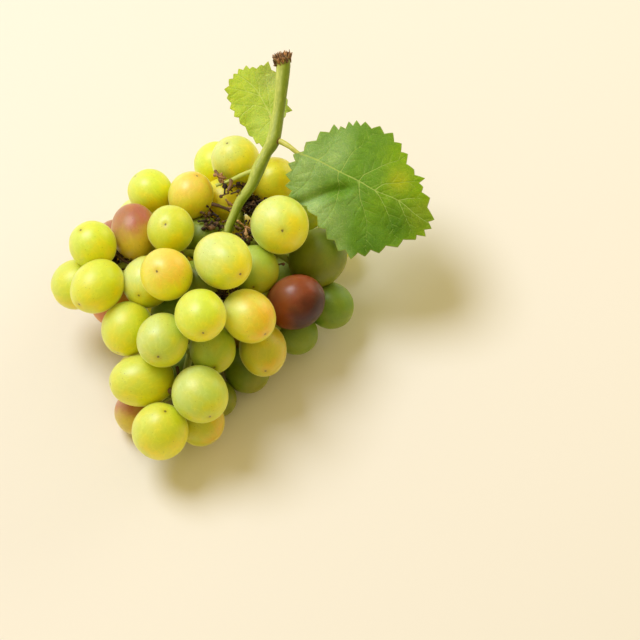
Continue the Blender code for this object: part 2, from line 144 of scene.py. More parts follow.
# Name, across, up, height, width, where the dry flower scar is as the eye sees it, in berry radii
# from the middle, and the tone of the skin
BERRIES = [
    ("crown_right", 15.0, 77.5, 48, 21.6, None, "pale"),
    ("crown_left", 6.0, 76.5, 40, 19.8, None, "lime"),
    ("back_left", -23.0, 63.5, 40, 20.4, None, "lime"),
    ("back_amber", -4.5, 62.0, 48, 20.6, None, "peach"),
    ("blush_left", -29.5, 45.0, 44, 22.0, (0.15, -0.95), "blush"),
    ("upper_left", -13.0, 46.0, 56, 21.2, (-0.17, 0.17), "lime"),
    ("wing_top", -47.5, 38.5, 46, 20.8, None, "lime"),
    ("wing_tip", -54.0, 22.5, 36, 22.4, None, "lime"),
    ("wing_front", -44.0, 21.0, 47, 23.2, (-0.58, -0.62), "lime"),
    ("left_pale", -23.5, 22.0, 48, 22.4, (-0.27, -0.51), "pale"),
    ("left_amber", -14.0, 26.0, 61, 22.6, (-0.33, 0.10), "peach"),
    ("top_pale", 10.5, 31.5, 61, 25.0, (0.55, -0.43), "pale"),
    ("top_under", 24.5, 28.0, 45, 21.8, None, "green"),
    ("shoulder_big", 35.0, 47.5, 57, 25.6, (0.10, -0.22), "pale"),
    ("purple_right", 42.0, 14.5, 38, 24.6, None, "purple"),
    ("leaf_shade_big", 52.0, 34.0, 33, 25.8, None, "olive"),
    ("leaf_shade_low", 57.5, 12.5, 18, 20.8, None, "forest"),
    ("right_floor", 42.0, 0.5, 13, 19.4, None, "forest"),
    ("middle_bright", 0.5, 7.5, 60, 22.4, (0.12, -0.63), "lime"),
    ("middle_amber", 22.0, 7.5, 51, 23.2, (0.59, -0.63), "amber"),
    ("right_olive", 27.5, -7.0, 30, 22.2, None, "russet"),
    ("middle_green", 6.0, -7.0, 41, 20.6, (0.09, -0.72), "green"),
    ("front_pale", -15.0, -3.0, 50, 23.2, (-0.11, -0.58), "mint"),
    ("left_front", -31.5, 2.5, 39, 23.0, (-0.33, -0.90), "lime"),
    ("long_left", -24.5, -20.5, 31, 24.6, (-0.97, -0.10), "lime"),
    ("low_middle", 1.0, -26.0, 36, 24.4, (0.35, -0.75), "mint"),
    ("tip", -16.5, -41.5, 22, 24.4, (0.21, 0.70), "lime"),
    ("tip_blush", -27.5, -35.0, 10, 20.8, None, "blush"),
    ("tip_olive", 0.5, -38.0, 13, 21.2, None, "russet"),
    ("tip_brown", 7.0, -29.5, 8.5, 17.6, None, "olive"),
    ("low_right", 19.0, -15.5, 12, 20.6, None, "olive"),
    ("deep_left", -12.5, 9.5, 34, 19.8, None, "forest"),
    ("deep_front", -6.0, -14.0, 22, 19.2, None, "forest"),
    ("deep_middle", -0.5, 22.5, 40, 19.8, None, "olive"),
    ("neck_green", 1.5, 42.0, 36, 20.6, None, "olive"),
    ("crown_behind", 32.5, 68.5, 38, 21.4, None, "gold"),
    ("crown_deep", 9.5, 60.5, 33, 20.4, None, "gold"),
    ("wing_blush", -38.0, 42.0, 28, 19.4, None, "blush"),
    ("wing_green", -29.5, 51.5, 25, 19.4, None, "pale"),
    ("wing_under", -39.5, 14.0, 24, 20.4, None, "rose"),
    ("leaf_under_back", 45.0, 57.0, 26, 20.6, None, "green"),
    ("leaf_under_low", 57.0, 40.0, 11, 20.0, None, "lime"),
]

# The berries that stand on the table and carry the bunch: across, back over the table, and width
FEET = [
    (-30.0, 20.0, 21.0),
    (-8.0, 38.0, 20.0),
    (18.0, 44.0, 21.0),
    (40.0, 26.0, 21.0),
    (-12.0, -8.0, 20.4),
]

# Places and radii along the main axis, the side branches, the stalk, its twig and the twig's forks.
# The berries keep off the first, the third and the fourth.
RACHIS = [
    (11.3, 44.6, 45.9, 2.3),
    (5.0, 34.0, 41.0, 2.2),
    (1.0, 18.0, 37.0, 2.0),
    (-2.0, 2.0, 33.0, 1.8),
    (-5.0, -12.0, 28.0, 1.6),
    (-9.0, -26.0, 20.0, 1.3),
]
BRANCHES = [
    [(5.5, 35.0, 41.5, 1.7), (-12.0, 36.0, 41.0, 1.6), (-27.0, 33.0, 38.0, 1.5), (-39.0, 29.0, 36.0, 1.3)],
    [(8.0, 39.0, 43.5, 1.7), (21.0, 41.0, 40.0, 1.6), (34.0, 36.0, 34.0, 1.5), (46.0, 27.0, 28.0, 1.3)],
    [(9.0, 41.0, 44.5, 1.7), (16.0, 52.0, 38.0, 1.6), (20.0, 62.0, 38.0, 1.5), (19.0, 70.0, 40.0, 1.3)],
    [(6.5, 37.0, 42.5, 1.7), (-6.0, 48.0, 36.0, 1.5), (-16.0, 56.0, 34.0, 1.3)],
    [(1.0, 18.0, 37.0, 1.6), (14.0, 12.0, 34.0, 1.5), (26.0, 6.0, 28.0, 1.3)],
]
STALK = [
    (11.4, 44.9, 46.0, 2.3),
    (14.5, 52.4, 49.5, 2.4),
    (17.6, 59.0, 53.0, 2.6),
    (22.4, 65.6, 57.0, 2.8),
    (25.5, 73.0, 60.5, 3.4),
    (29.0, 80.1, 64.0, 2.8),
    (32.1, 85.8, 67.0, 3.4),
    (34.3, 97.7, 72.0, 2.9),
    (35.6, 108.2, 77.0, 3.0),
    (36.5, 118.4, 81.5, 3.3),
    (35.7, 122.3, 83.5, 3.7),
]
TWIG = [
    (25.2, 73.0, 60.4, 1.5),
    (18.9, 70.8, 58.0, 1.3),
    (12.3, 67.8, 55.0, 1.1),
    (6.6, 66.0, 53.0, 1.0),
]
TWIG_FORKS = [
    [(9.0, 66.8, 53.8, 0.9), (8.0, 69.8, 54.6, 0.8), (6.2, 72.6, 54.4, 0.7)],
    [(13.5, 68.4, 55.5, 0.9), (13.0, 65.6, 56.0, 0.8), (11.8, 63.2, 55.6, 0.7)],
]

# How far a berry is pressed flat on the table and two berries press on each other, and the room that
# berries keep from the main axis, the stalk and the twig
FLAT_SPOT_SINK = 0.5
SQUEEZE = 0.3
RACHIS_ROOM = 2.6
STALK_ROOM = 0.6
STALK_RADIUS = 3.4
TWIG_RADIUS = 1.5

# How berries settle: the share of an overlap pushed out in one step, how much of a push goes
# across the line of sight, the pulls back to the start across it and along it, and the steps
PUSH_SHARE = 0.3
ACROSS_SHARE = 0.35
PULL_ACROSS = 0.02
PULL_ALONG = 0.004
SEEN_STEPS = 400
HIDDEN_STEPS = 150
LAST_STEPS = 60
NO_NEIGHBOUR = 1e6
LEAST_DISTANCE = 0.01

# The berries that the eye can't see: a staggered grid of places in layers over the table, the widths
# to draw from, how far a place may stray, and how near to another berry or to the main axis it may be
HIDDEN_SEED = 3
HIDDEN_SPACING = 6.0
HIDDEN_LAYERS = [9.6 + 6.0 * k for k in range(7)]
HIDDEN_WIDTH = (17.6, 20.4)
HIDDEN_JITTER = 1.5
HIDDEN_REACH = 45.0
HIDDEN_CLEAR = -2.6
HIDDEN_RIM = 0.9
HIDDEN_RIM_POINTS = 16
HIDDEN_BEHIND = 2.0
HIDDEN_ROW_STEP = 0.87
HIDDEN_LAYER_SHIFT = 0.4
HIDDEN_RACHIS_ROOM = 1.6
HIDDEN_TONES = ["lime", "green", "green", "pale", "amber", "blush"]

# Hidden berries nearer to the main axis than this get little light, so they take a dark olive tone as painted
# shade
INNER_REACH = 17.0


def off_line(points, line):
    """The shortest step from a line of points out to each point, and where on the line it starts."""
    best = None
    for start, end in zip(line[:-1], line[1:]):
        run = end - start
        share = np.clip(((points - start) @ run) / (run @ run), 0.0, 1.0)
        foot = start + share[:, None] * run
        step = points - foot
        far = np.linalg.norm(step, axis=1)
        if best is None:
            best = [far, step, foot]
            continue
        nearer = far < best[0]
        best[0] = np.where(nearer, far, best[0])
        best[1] = np.where(nearer[:, None], step, best[1])
        best[2] = np.where(nearer[:, None], foot, best[2])
    return best


def settle(centres, radii, fixed, lines, steps):
    """Pushes berries that overlap apart, mostly towards the eye or away from it, and off the stems."""
    eye = np.array([0.0, -LEAN, RISE])
    home = centres.copy()
    centres = centres.copy()
    loose = np.where(fixed, 0.0, 1.0)[:, None]
    for _ in range(steps):
        apart = centres[:, None] - centres[None]
        far = np.linalg.norm(apart, axis=2) + np.eye(len(centres)) * NO_NEIGHBOUR
        over = np.maximum(radii[:, None] + radii[None] - SQUEEZE - far, 0.0)
        push = (apart / far[..., None] * over[..., None]).sum(1) * PUSH_SHARE
        for line, room in lines:
            away, step, _ = off_line(centres, line)
            short = np.maximum(radii + room - away, 0.0)
            push += step / np.maximum(away, LEAST_DISTANCE)[:, None] * short[:, None] * PUSH_SHARE
        along = (push @ eye)[:, None] * eye
        back = home - centres
        back_along = (back @ eye)[:, None] * eye
        move = along + (push - along) * ACROSS_SHARE
        move += (back - back_along) * PULL_ACROSS + back_along * PULL_ALONG
        centres += move * loose
        low = radii - FLAT_SPOT_SINK - centres[:, 2]
        centres[:, 2] += np.maximum(low, 0.0) * loose[:, 0]
    return centres


def hidden_berries(centres, radii, line):
    """Berries on a staggered grid, kept where the eye can't see them and nothing else stands."""
    rng = random.Random(HIDDEN_SEED)
    turn = np.linspace(0.0, 2.0 * math.pi, HIDDEN_RIM_POINTS, endpoint=False)
    low = centres.min(0)
    high = centres.max(0)
    found = []
    for layer, height in enumerate(HIDDEN_LAYERS):
        rows = int((high[1] - low[1]) / (HIDDEN_SPACING * HIDDEN_ROW_STEP)) + 2
        for row in range(rows):
            for column in range(int((high[0] - low[0]) / HIDDEN_SPACING) + 2):
                radius = rng.uniform(*HIDDEN_WIDTH) / 2
                x = low[0] + (column + 0.5 * ((row + layer) % 2)) * HIDDEN_SPACING
                y = low[1] + (row + HIDDEN_LAYER_SHIFT * layer) * HIDDEN_SPACING * HIDDEN_ROW_STEP
                centre = np.array([x, y, height])
                centre += [rng.uniform(-1, 1) * HIDDEN_JITTER for _ in range(3)]
                centre[2] = max(centre[2], radius - FLAT_SPOT_SINK)
                every = np.vstack([centres] + [c for c, _ in found])
                every_radius = np.append(radii, [r for _, r in found])
                if (np.linalg.norm(every - centre, axis=1) - every_radius - radius).min() < HIDDEN_CLEAR:
                    continue
                away = off_line(centre[None], line)[0][0]
                if away < radius + HIDDEN_RACHIS_ROOM or away > HIDDEN_REACH:
                    continue
                view = seen_from_the_eye(centre)
                rim = view[:2] + np.stack([np.cos(turn), np.sin(turn)], 1) * radius * HIDDEN_RIM
                discs = seen_from_the_eye(centres)
                inside = np.linalg.norm(rim[:, None] - discs[None, :, :2], axis=2) < radii[None]
                nearer = discs[:, 2] > view[2] + HIDDEN_BEHIND
                if (inside & nearer[None]).any(1).all():
                    found.append((centre, radius))
    return found


def line_of(rows):
    return np.array([place(*row[:3]) for row in rows])


def all_berries():
    """Name, centre, radius, way to the scar, root and tone of every berry."""
    lines = [
        (line_of(RACHIS), RACHIS_ROOM),
        (line_of(STALK), STALK_RADIUS + STALK_ROOM),
        (line_of(TWIG), TWIG_RADIUS + STALK_ROOM),
    ]
    names = [row[0] for row in BERRIES] + [f"foot_{k + 1}" for k in range(len(FEET))]
    centres = [place(*row[1:4]) for row in BERRIES]
    centres += [np.array([x - MIDDLE_X, y - MIDDLE_Y, width / 2 - FLAT_SPOT_SINK]) for x, y, width in FEET]
    centres = np.array(centres)
    radii = np.array([row[4] / 2 for row in BERRIES] + [width / 2 for _, _, width in FEET])
    fixed = np.array([False] * len(BERRIES) + [True] * len(FEET))
    centres = settle(centres, radii, fixed, lines, SEEN_STEPS)
    hidden = hidden_berries(centres, radii, lines[0][0])
    names += [f"hidden_{k + 1}" for k in range(len(hidden))]
    centres = np.vstack([centres] + [centre for centre, _ in hidden])
    radii = np.append(radii, [radius for _, radius in hidden])
    placed = np.arange(len(radii)) < len(fixed)
    centres = settle(centres, radii, placed, lines, HIDDEN_STEPS)
    feet = np.array([name.startswith("foot") for name in names])
    centres = settle(centres, radii, feet, lines, LAST_STEPS)

    stems = [line_of(RACHIS)] + [line_of(branch) for branch in BRANCHES]
    rng = random.Random(HIDDEN_SEED)
    berries = []
    for k, name in enumerate(names):
        roots = [off_line(centres[k][None], stem) for stem in stems]
        root = min(roots, key=lambda one: one[0][0])
        outward = Vector(root[1][0]).normalized()
        scar = BERRIES[k][5] if k < len(BERRIES) else None
        if scar:
            facing = math.sqrt(max(0.0, 1.0 - scar[0] ** 2 - scar[1] ** 2))
            outward = Vector((scar[0], scar[1] * RISE - facing * LEAN, scar[1] * LEAN + facing * RISE))
        inner = off_line(centres[k][None], lines[0][0])[0][0] < INNER_REACH
        tone = rng.choice(HIDDEN_TONES) if k >= len(BERRIES) else BERRIES[k][6]
        tone = "olive" if inner and name.startswith("hidden") else tone
        berries.append((name, Vector(centres[k]), radii[k], outward.normalized(), Vector(root[2][0]), tone))
    return berries


# Skin tones: body, second tone, where the second tone sits as the eye sees it (across, up, near),
# how far round the berry it reaches, from 0 for none to 1 for all of it, and the share of painted
# highlight: a pale tone painted on the side that faces the key light. The second tone is the skin's
# own blush on the blush, rose, peach and amber tones. On purple it is painted shade, and on the others
# it is a yellower painted glow of light through the flesh, on the side away from the key light.
TONES = {
    "lime": ((0.68, 0.77, 0.014), (0.80, 0.77, 0.002), (0.4, -0.8, 0.2), 0.48, 0.36),
    "pale": ((0.66, 0.78, 0.080), (0.82, 0.79, 0.003), (0.7, -0.5, 0.2), 0.62, 0.72),
    "mint": ((0.54, 0.70, 0.080), (0.68, 0.72, 0.006), (0.5, -0.7, 0.1), 0.50, 0.56),
    "green": ((0.40, 0.54, 0.035), (0.50, 0.54, 0.005), (0.5, -0.6, 0.3), 0.40, 0.34),
    # The next two tones are dark greens that paint the shade on berries deep in the bunch, under the leaf and
    # low down
    "forest": ((0.17, 0.29, 0.010), (0.22, 0.30, 0.004), (0.4, -0.7, 0.3), 0.36, 0.12),
    "olive": ((0.18, 0.25, 0.003), (0.23, 0.25, 0.002), (0.4, -0.7, 0.3), 0.40, 0.05),
    "russet": ((0.58, 0.57, 0.010), (0.68, 0.47, 0.008), (0.8, -0.4, 0.2), 0.38, 0.24),
    "gold": ((0.87, 0.78, 0.006), (0.86, 0.66, 0.003), (0.5, -0.6, 0.3), 0.42, 0.14),
    "amber": ((0.80, 0.73, 0.012), (0.82, 0.53, 0.008), (0.7, 0.1, 0.7), 0.42, 0.50),
    "peach": ((0.86, 0.75, 0.012), (0.87, 0.57, 0.060), (0.1, 0.45, 0.8), 0.40, 0.40),
    "blush": ((0.66, 0.49, 0.024), (0.42, 0.090, 0.080), (-0.3, 0.85, 0.3), 0.60, 0.16),
    "rose": ((0.78, 0.36, 0.120), (0.72, 0.26, 0.120), (-0.3, -0.8, 0.3), 0.60, 0.10),
    "purple": ((0.25, 0.044, 0.013), (0.046, 0.003, 0.003), (0.75, -0.45, 0.1), 0.58, 0.06),
}
# Painted highlight: the way towards the key light as the eye sees it, and the pale tone painted on the side
# of each berry that faces it
PAINTED_HIGHLIGHT_WAY = (-0.62, 0.50, 0.60)
PAINTED_HIGHLIGHT_TONE = (0.75, 0.84, 0.44)

# The mesh of a berry, its rings gathered at the poles, and its form in shares of its radius: wider at
# the stem end, lumpy, dimpled at scar and stem. The spreads make each berry a little different.
BERRY_SIDES = 44
BERRY_RINGS = 32
POLE_GATHER = 0.28
EGG = 0.05
LUMP = 0.023
SCAR_DIMPLE = 0.035
SCAR_WIDTH = 0.16
STEM_DIMPLE = 0.07
STEM_WIDTH = 0.26
STRETCH_SPREAD = 0.04
OVAL_SPREAD = 0.025
LIGHT_SPREAD = 0.06
HUE_SPREAD = 0.03

# Half the length of a berry in radii: a common one, and those that grew longer and slimmer
BERRY_STRETCH = 1.06
LONG_BERRIES = {
    "long_left": 1.17, "middle_bright": 1.15, "wing_front": 1.14, "top_pale": 1.16, "middle_amber": 1.14,
    "right_olive": 1.13, "blush_left": 1.13,
}


def as_seen(way):
    """A way given as the eye sees it (across, up, near), turned into the frame."""
    return Vector((way[0], way[1] * RISE - way[2] * LEAN, way[1] * LEAN + way[2] * RISE)).normalized()


def berry_mesh(bm, layers, centre, radius, outward, tone, seed, stretch):
    """Adds one berry to bm, with its own coordinates, colours and seed on each point."""
    turn = (outward.to_track_quat("Z", "Y").to_matrix() @ Matrix.Rotation(2.4 * seed, 3, "Z"))
    made = bmesh.ops.create_uvsphere(bm, u_segments=BERRY_SIDES, v_segments=BERRY_RINGS, radius=1.0)["verts"]
    body, second, where, reach, bloom_and_highlight = TONES[tone]
    where = as_seen(where)
    highlight_way = as_seen(PAINTED_HIGHLIGHT_WAY)
    rng = random.Random(seed * 7 + 1)
    vary = [rng.uniform(-1, 1) for _ in range(3)]
    stretch += STRETCH_SPREAD * vary[1]
    slimmer = math.sqrt(BERRY_STRETCH / stretch)
    shift = Vector((seed * 3.7, seed * 1.3, -seed * 2.1))
    for vertex in made:
        spot = vertex.co.copy()
        polar = math.acos(max(-1.0, min(1.0, spot.z)))
        polar -= POLE_GATHER * math.sin(2.0 * polar)
        flat = Vector((spot.x, spot.y, 0.0))
        if flat.length > 1e-6:
            flat.normalize()
        spot = flat * math.sin(polar) + Vector((0.0, 0.0, math.cos(polar)))
        vertex[layers["spot"]] = spot
        lump = noise.noise(spot * 0.9 + shift) + 0.5 * noise.noise(spot * 2.1 - shift)
        size = 1.0 + LUMP * lump
        size *= 1.0 - EGG * spot.z * 0.5
        from_pole = math.hypot(spot.x, spot.y)
        dimple = SCAR_DIMPLE * math.exp(-((from_pole / SCAR_WIDTH) ** 2)) if spot.z > 0 else 0.0
        dimple += STEM_DIMPLE * math.exp(-((from_pole / STEM_WIDTH) ** 2)) if spot.z < 0 else 0.0
        shape = spot * size * (1.0 - dimple)
        shape.z *= stretch
        shape.x *= slimmer * (1.0 - OVAL_SPREAD * vary[2])
        shape.y *= slimmer * (1.0 + OVAL_SPREAD * vary[2])
        point = centre + (turn @ shape) * radius
        point.z = max(point.z, 0.0)
        vertex.co = point * MM
        # the second tone: the skin's own blush on some tones, painted glow through the flesh or painted shade
        # on others
        facing = (turn @ spot).dot(where)
        vertex[layers["blush"]] = 0.5 + 0.5 * facing + (reach - 0.5)
        vertex[layers["seed"]] = seed * 0.618 % 1.0
        light = 1.0 + LIGHT_SPREAD * vary[0]
        # painted highlight: the side facing the key light is mixed towards a pale tone
        painted_highlight = bloom_and_highlight * max(0.0, (turn @ spot).dot(highlight_way)) ** 2
        shades = [c * light * (1 + HUE_SPREAD * vary[1] * w) for c, w in zip(body, (1, -1, 0))]
        vertex[layers["body"]] = (*[c + (pale - c) * painted_highlight for c, pale in zip(shades, PAINTED_HIGHLIGHT_TONE)], 1.0)
        vertex[layers["second"]] = (*[c + (pale - c) * painted_highlight for c, pale in zip(second, PAINTED_HIGHLIGHT_TONE)], 1.0)


class Paint:
    """A material's nodes under way: each short call adds a node and gives its output."""

    def __init__(self, name):
        self.material, self.shader = material(name)
        self.nodes = self.material.node_tree.nodes
        self.links = self.material.node_tree.links

    def put(self, value, socket):
        if isinstance(value, bpy.types.NodeSocket):
            self.links.new(value, socket)
        elif isinstance(value, tuple):
            socket.default_value = (*value, 1.0)
        else:
            socket.default_value = value

    def object_place(self):
        return self.nodes.new("ShaderNodeTexCoord").outputs["Object"]

    def attribute(self, name, output="Fac"):
        node = self.nodes.new("ShaderNodeAttribute")
        node.attribute_name = name
        return node.outputs[output]

    def maths(self, operation, first, second=0.0):
        node = self.nodes.new("ShaderNodeMath")
        node.operation = operation
        self.put(first, node.inputs[0])
        self.put(second, node.inputs[1])
        return node.outputs[0]

    def mixed(self, factor, first, second, blend="MIX"):
        node = self.nodes.new("ShaderNodeMix")
        node.data_type = "RGBA"
        node.blend_type = blend
        for value, socket in ((factor, 0), (first, 6), (second, 7)):
            self.put(value, node.inputs[socket])
        return node.outputs[2]

    def tinted(self, share, colour, tint):
        """The colour, multiplied by the tint where share is 1."""
        return self.mixed(share, colour, self.mixed(1.0, colour, tint, "MULTIPLY"))

    def ramp(self, value, low, high):
        node = self.nodes.new("ShaderNodeMapRange")
        node.interpolation_type = "SMOOTHSTEP"
        self.put(value, node.inputs["Value"])
        node.inputs["From Min"].default_value = low
        node.inputs["From Max"].default_value = high
        return node.outputs[0]

    def less(self, value, low, high):
        """1 below low, falling to 0 at high."""
        return self.maths("SUBTRACT", 1.0, self.ramp(value, low, high))

    def parts(self, vector):
        node = self.nodes.new("ShaderNodeSeparateXYZ")
        self.put(vector, node.inputs[0])
        return node.outputs

    def vector(self, x, y, z):
        node = self.nodes.new("ShaderNodeCombineXYZ")
        for value, socket in zip((x, y, z), node.inputs):
            self.put(value, socket)
        return node.outputs[0]

    def moved(self, vector, step):
        node = self.nodes.new("ShaderNodeVectorMath")
        node.operation = "ADD"
        self.put(vector, node.inputs[0])
        self.put(step, node.inputs[1])
        return node.outputs[0]

    def noise(self, vector, scale, detail=3.0, rough=0.5):
        node = self.nodes.new("ShaderNodeTexNoise")
        self.put(vector, node.inputs["Vector"])
        node.inputs["Scale"].default_value = scale
        node.inputs["Detail"].default_value = detail
        node.inputs["Roughness"].default_value = rough
        return node.outputs["Fac"]

    def cells(self, vector, scale, feature="F1"):
        node = self.nodes.new("ShaderNodeTexVoronoi")
        node.feature = feature
        self.put(vector, node.inputs["Vector"])
        node.inputs["Scale"].default_value = scale
        return node.outputs

    def bump(self, height, distance, strength=1.0):
        node = self.nodes.new("ShaderNodeBump")
        node.inputs["Strength"].default_value = strength
        node.inputs["Distance"].default_value = distance
        self.put(height, node.inputs["Height"])
        self.put(node.outputs[0], self.shader.inputs["Normal"])


def grape_skin(name, depth, roughness, sheen, waxy, coat):
    """Waxy translucent skin: mottled, with a second tone to one side (own blush, painted glow or painted
    shade), fine specks and the flower scar.
    """
    paint = Paint(name)
    spot = paint.attribute("spot", "Vector")
    seed = paint.attribute("seed")
    shift = [paint.maths("MULTIPLY", seed, step) for step in (40.0, -23.0, 31.0)]
    own = paint.moved(spot, paint.vector(*shift))
    broad = paint.noise(own, 1.6)
    fine = paint.noise(own, 9.0, 4.0, 0.6)
    wander = paint.maths("MULTIPLY", paint.maths("SUBTRACT", broad, 0.5), 0.55)
    # the second tone: own blush on some berries, painted glow through the flesh or painted shade on others
    blush = paint.ramp(paint.maths("ADD", paint.attribute("blush"), wander), 0.50, 1.02)
    colour = paint.mixed(blush, paint.attribute("body", "Color"), paint.attribute("second", "Color"))
    colour = paint.tinted(paint.ramp(broad, 0.35, 0.75), colour, (1.12, 1.0, 0.7))
    colour = paint.tinted(paint.ramp(fine, 0.40, 0.85), colour, (0.92, 0.95, 0.85))

    # faint veins from pole to pole under the skin
    x, y, z = paint.parts(spot)
    bend = paint.maths("MULTIPLY", paint.noise(own, 3.0), 9.0)
    turn = paint.maths("ADD", paint.maths("MULTIPLY", paint.maths("ARCTAN2", y, x), 7.0), bend)
    veins = paint.ramp(paint.maths("ABSOLUTE", paint.maths("SINE", turn)), 0.93, 1.0)
    colour = paint.tinted(paint.maths("MULTIPLY", veins, 0.25), colour, (1.25, 1.2, 1.6))

    # fine brown specks, on a part of each berry
    cells = paint.cells(own, 7.5)
    speck = paint.less(cells["Distance"], 0.07, 0.15)
    speck = paint.maths("MULTIPLY", speck, paint.ramp(paint.parts(cells["Color"])[0], 0.55, 0.62))
    speck = paint.maths("MULTIPLY", speck, paint.ramp(paint.noise(own, 1.1), 0.40, 0.54))
    colour = paint.tinted(paint.maths("MULTIPLY", speck, 0.8), colour, (0.50, 0.36, 0.22))

    # the dry flower scar and the greener stem end
    square = paint.maths("ADD", paint.maths("POWER", x, 2.0), paint.maths("POWER", y, 2.0))
    from_pole = paint.maths("SQRT", square)
    ragged = paint.maths("MULTIPLY", paint.maths("SUBTRACT", paint.noise(own, 14.0, 2.0), 0.5), 0.07)
    ragged = paint.maths("ADD", from_pole, ragged)
    top = paint.ramp(z, 0.0, 0.2)
    halo = paint.maths("MULTIPLY", paint.less(ragged, 0.04, 0.26), top)
    colour = paint.tinted(paint.maths("MULTIPLY", halo, 0.5), colour, (0.86, 0.72, 0.5))
    scar = paint.maths("MULTIPLY", paint.less(ragged, 0.022, 0.070), top)
    colour = paint.mixed(paint.maths("MULTIPLY", scar, 0.85), colour, (0.100, 0.058, 0.014))
    stem_end = paint.maths("MULTIPLY", paint.less(ragged, 0.10, 0.45), paint.less(z, -0.2, 0.0))
    colour = paint.mixed(paint.maths("MULTIPLY", stem_end, 0.5), colour, (0.20, 0.25, 0.02))

    # the pale waxy bloom, worn thin in places
    bloom_and_highlight = paint.ramp(paint.noise(own, 2.3, 5.0, 0.62), 0.38, 0.72)
    colour = paint.mixed(paint.maths("MULTIPLY", bloom_and_highlight, waxy), colour, (0.78, 0.82, 0.24))
    shader = paint.shader
    paint.put(colour, shader.inputs["Base Color"])
    dull = paint.maths("MULTIPLY", bloom_and_highlight, 0.16)
    paint.put(paint.maths("ADD", dull, roughness - 0.06), shader.inputs["Roughness"])
    paint.bump(paint.noise(own, 28.0), 0.0002, 0.10)
    shader.subsurface_method = "RANDOM_WALK"
    shader.inputs["Subsurface Weight"].default_value = 0.9
    shader.inputs["Subsurface Radius"].default_value = (1.0, 0.9, 0.25)
    shader.inputs["Subsurface Scale"].default_value = depth
    shader.inputs["IOR"].default_value = 1.42
    shader.inputs["Coat Weight"].default_value = coat
    shader.inputs["Coat Roughness"].default_value = 0.42
    shader.inputs["Sheen Weight"].default_value = sheen
    shader.inputs["Sheen Roughness"].default_value = 0.28
    shader.inputs["Sheen Tint"].default_value = (1.0, 1.0, 0.42, 1.0)
    return paint


def finished(bm, name, paint, slot, *nodes):
    """Makes the mesh a smooth piece that rides with the bunch."""
    for face in bm.faces:
        face.smooth = True
    mesh = bpy.data.meshes.new(name)
    bm.to_mesh(mesh)
    bm.free()
    piece = bpy.data.objects.new(name, mesh)
    bpy.context.scene.collection.objects.link(piece)
    mesh.materials.append(paint.material)
    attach(piece, "root")
    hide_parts(*nodes)
    return piece


# The berries are made piece by piece, by colour. Each row gives the tones, how deep light goes into
# the flesh in metres, roughness, the pale rim, the bloom over all of the skin, and the gloss over it
BERRY_PIECES = {
    "lime_berries": (("lime",), 0.0110, 0.42, 0.75, 0.06, 0.55),
    "pale_berries": (("pale", "mint"), 0.0105, 0.44, 0.80, 0.06, 0.55),
    "green_berries": (("green", "forest", "olive"), 0.0070, 0.50, 0.16, 0.04, 0.22),
    "amber_berries": (("gold", "amber", "peach", "russet"), 0.0105, 0.42, 0.70, 0.04, 0.55),
    "blush_berries": (("blush", "rose"), 0.0065, 0.42, 0.50, 0.06, 0.50),
    "dark_berry": (("purple",), 0.0030, 0.36, 0.02, 0.02, 0.0),
}
bunch = all_berries()
for piece_name, (tones, *skin) in BERRY_PIECES.items():
    bm = bmesh.new()
    layers = {
        "spot": bm.verts.layers.float_vector.new("spot"),
        "blush": bm.verts.layers.float.new("blush"),
        "seed": bm.verts.layers.float.new("seed"),
        "body": bm.verts.layers.float_color.new("body"),
        "second": bm.verts.layers.float_color.new("second"),
    }
    for seed, (name, centre, radius, outward, _, tone) in enumerate(bunch):
        if tone in tones:
            stretch = LONG_BERRIES.get(name, BERRY_STRETCH)
            berry_mesh(bm, layers, centre, radius, outward, tone, seed + 1, stretch)
    paint = grape_skin(piece_name.replace("berries", "skin"), *skin)
    finished(bm, piece_name, paint, "berry_skin", "berry_cluster")


# Stems inside the bunch
# The main axis of the bunch, its side branches and one short stem to each berry. They are green
# wood drying to brown, and each berry's stem swells to a warty collar where the fruit sits on it.
STEM_SIDES = 12
STEM_STEPS = 8
PEDICEL_SIDES = 9
PEDICEL_STEPS = 8
PEDICEL_DRYNESS = [0.1, 0.3, 0.5, 0.8]
PEDICEL_PROBES = 40
PEDICEL_SEED = 11
PEDICEL_RADIUS = 0.95
PEDICEL_SINK = 1.4
PEDICEL_DEPTH = 4.0
COLLAR_RADIUS = 1.9
COLLAR_SHARE = 0.28
STEM_GREEN = (0.36, 0.42, 0.045)
STEM_BROWN = (0.085, 0.042, 0.016)


def through(points, steps):
    """A smooth curve through the points: its places, each with the last point passed and the share on."""
    path = []
    for k in range(len(points) - 1):
        here, ahead = points[k], points[k + 1]
        before = points[max(k - 1, 0)]
        after = points[min(k + 2, len(points) - 1)]
        for step in range(steps):
            t = step / steps
            leaving = here * (2 * t**3 - 3 * t**2 + 1) + (ahead - before) * 0.5 * (t**3 - 2 * t**2 + t)
            reaching = ahead * (3 * t**2 - 2 * t**3) + (after - here) * 0.5 * (t**3 - t**2)
            path.append((leaving + reaching, k, t))
    return path + [(points[-1], len(points) - 2, 1.0)]


def smooth_path(rows, steps):
    """Points and radii along a curve that passes through the rows."""
    places = [Vector(place(*row[:3])) for row in rows]
    return [
        (point, rows[k][3] + (rows[k + 1][3] - rows[k][3]) * t)
        for point, k, t in through(places, steps)
    ]


def ring_edges(bm, ring):
    """The edges of a closed ring of points, in their order."""
    return [bm.edges.get((one, after)) for one, after in zip(ring, ring[1:] + ring[:1])]


def next_ring(bm, ring):
    """Extrudes a closed ring of points and gives the new ring in the same order."""
    made = set(bmesh.ops.extrude_edge_only(bm, edges=ring_edges(bm, ring))["geom"])
    return [next(e.other_vert(one) for e in one.link_edges if e.other_vert(one) in made) for one in ring]


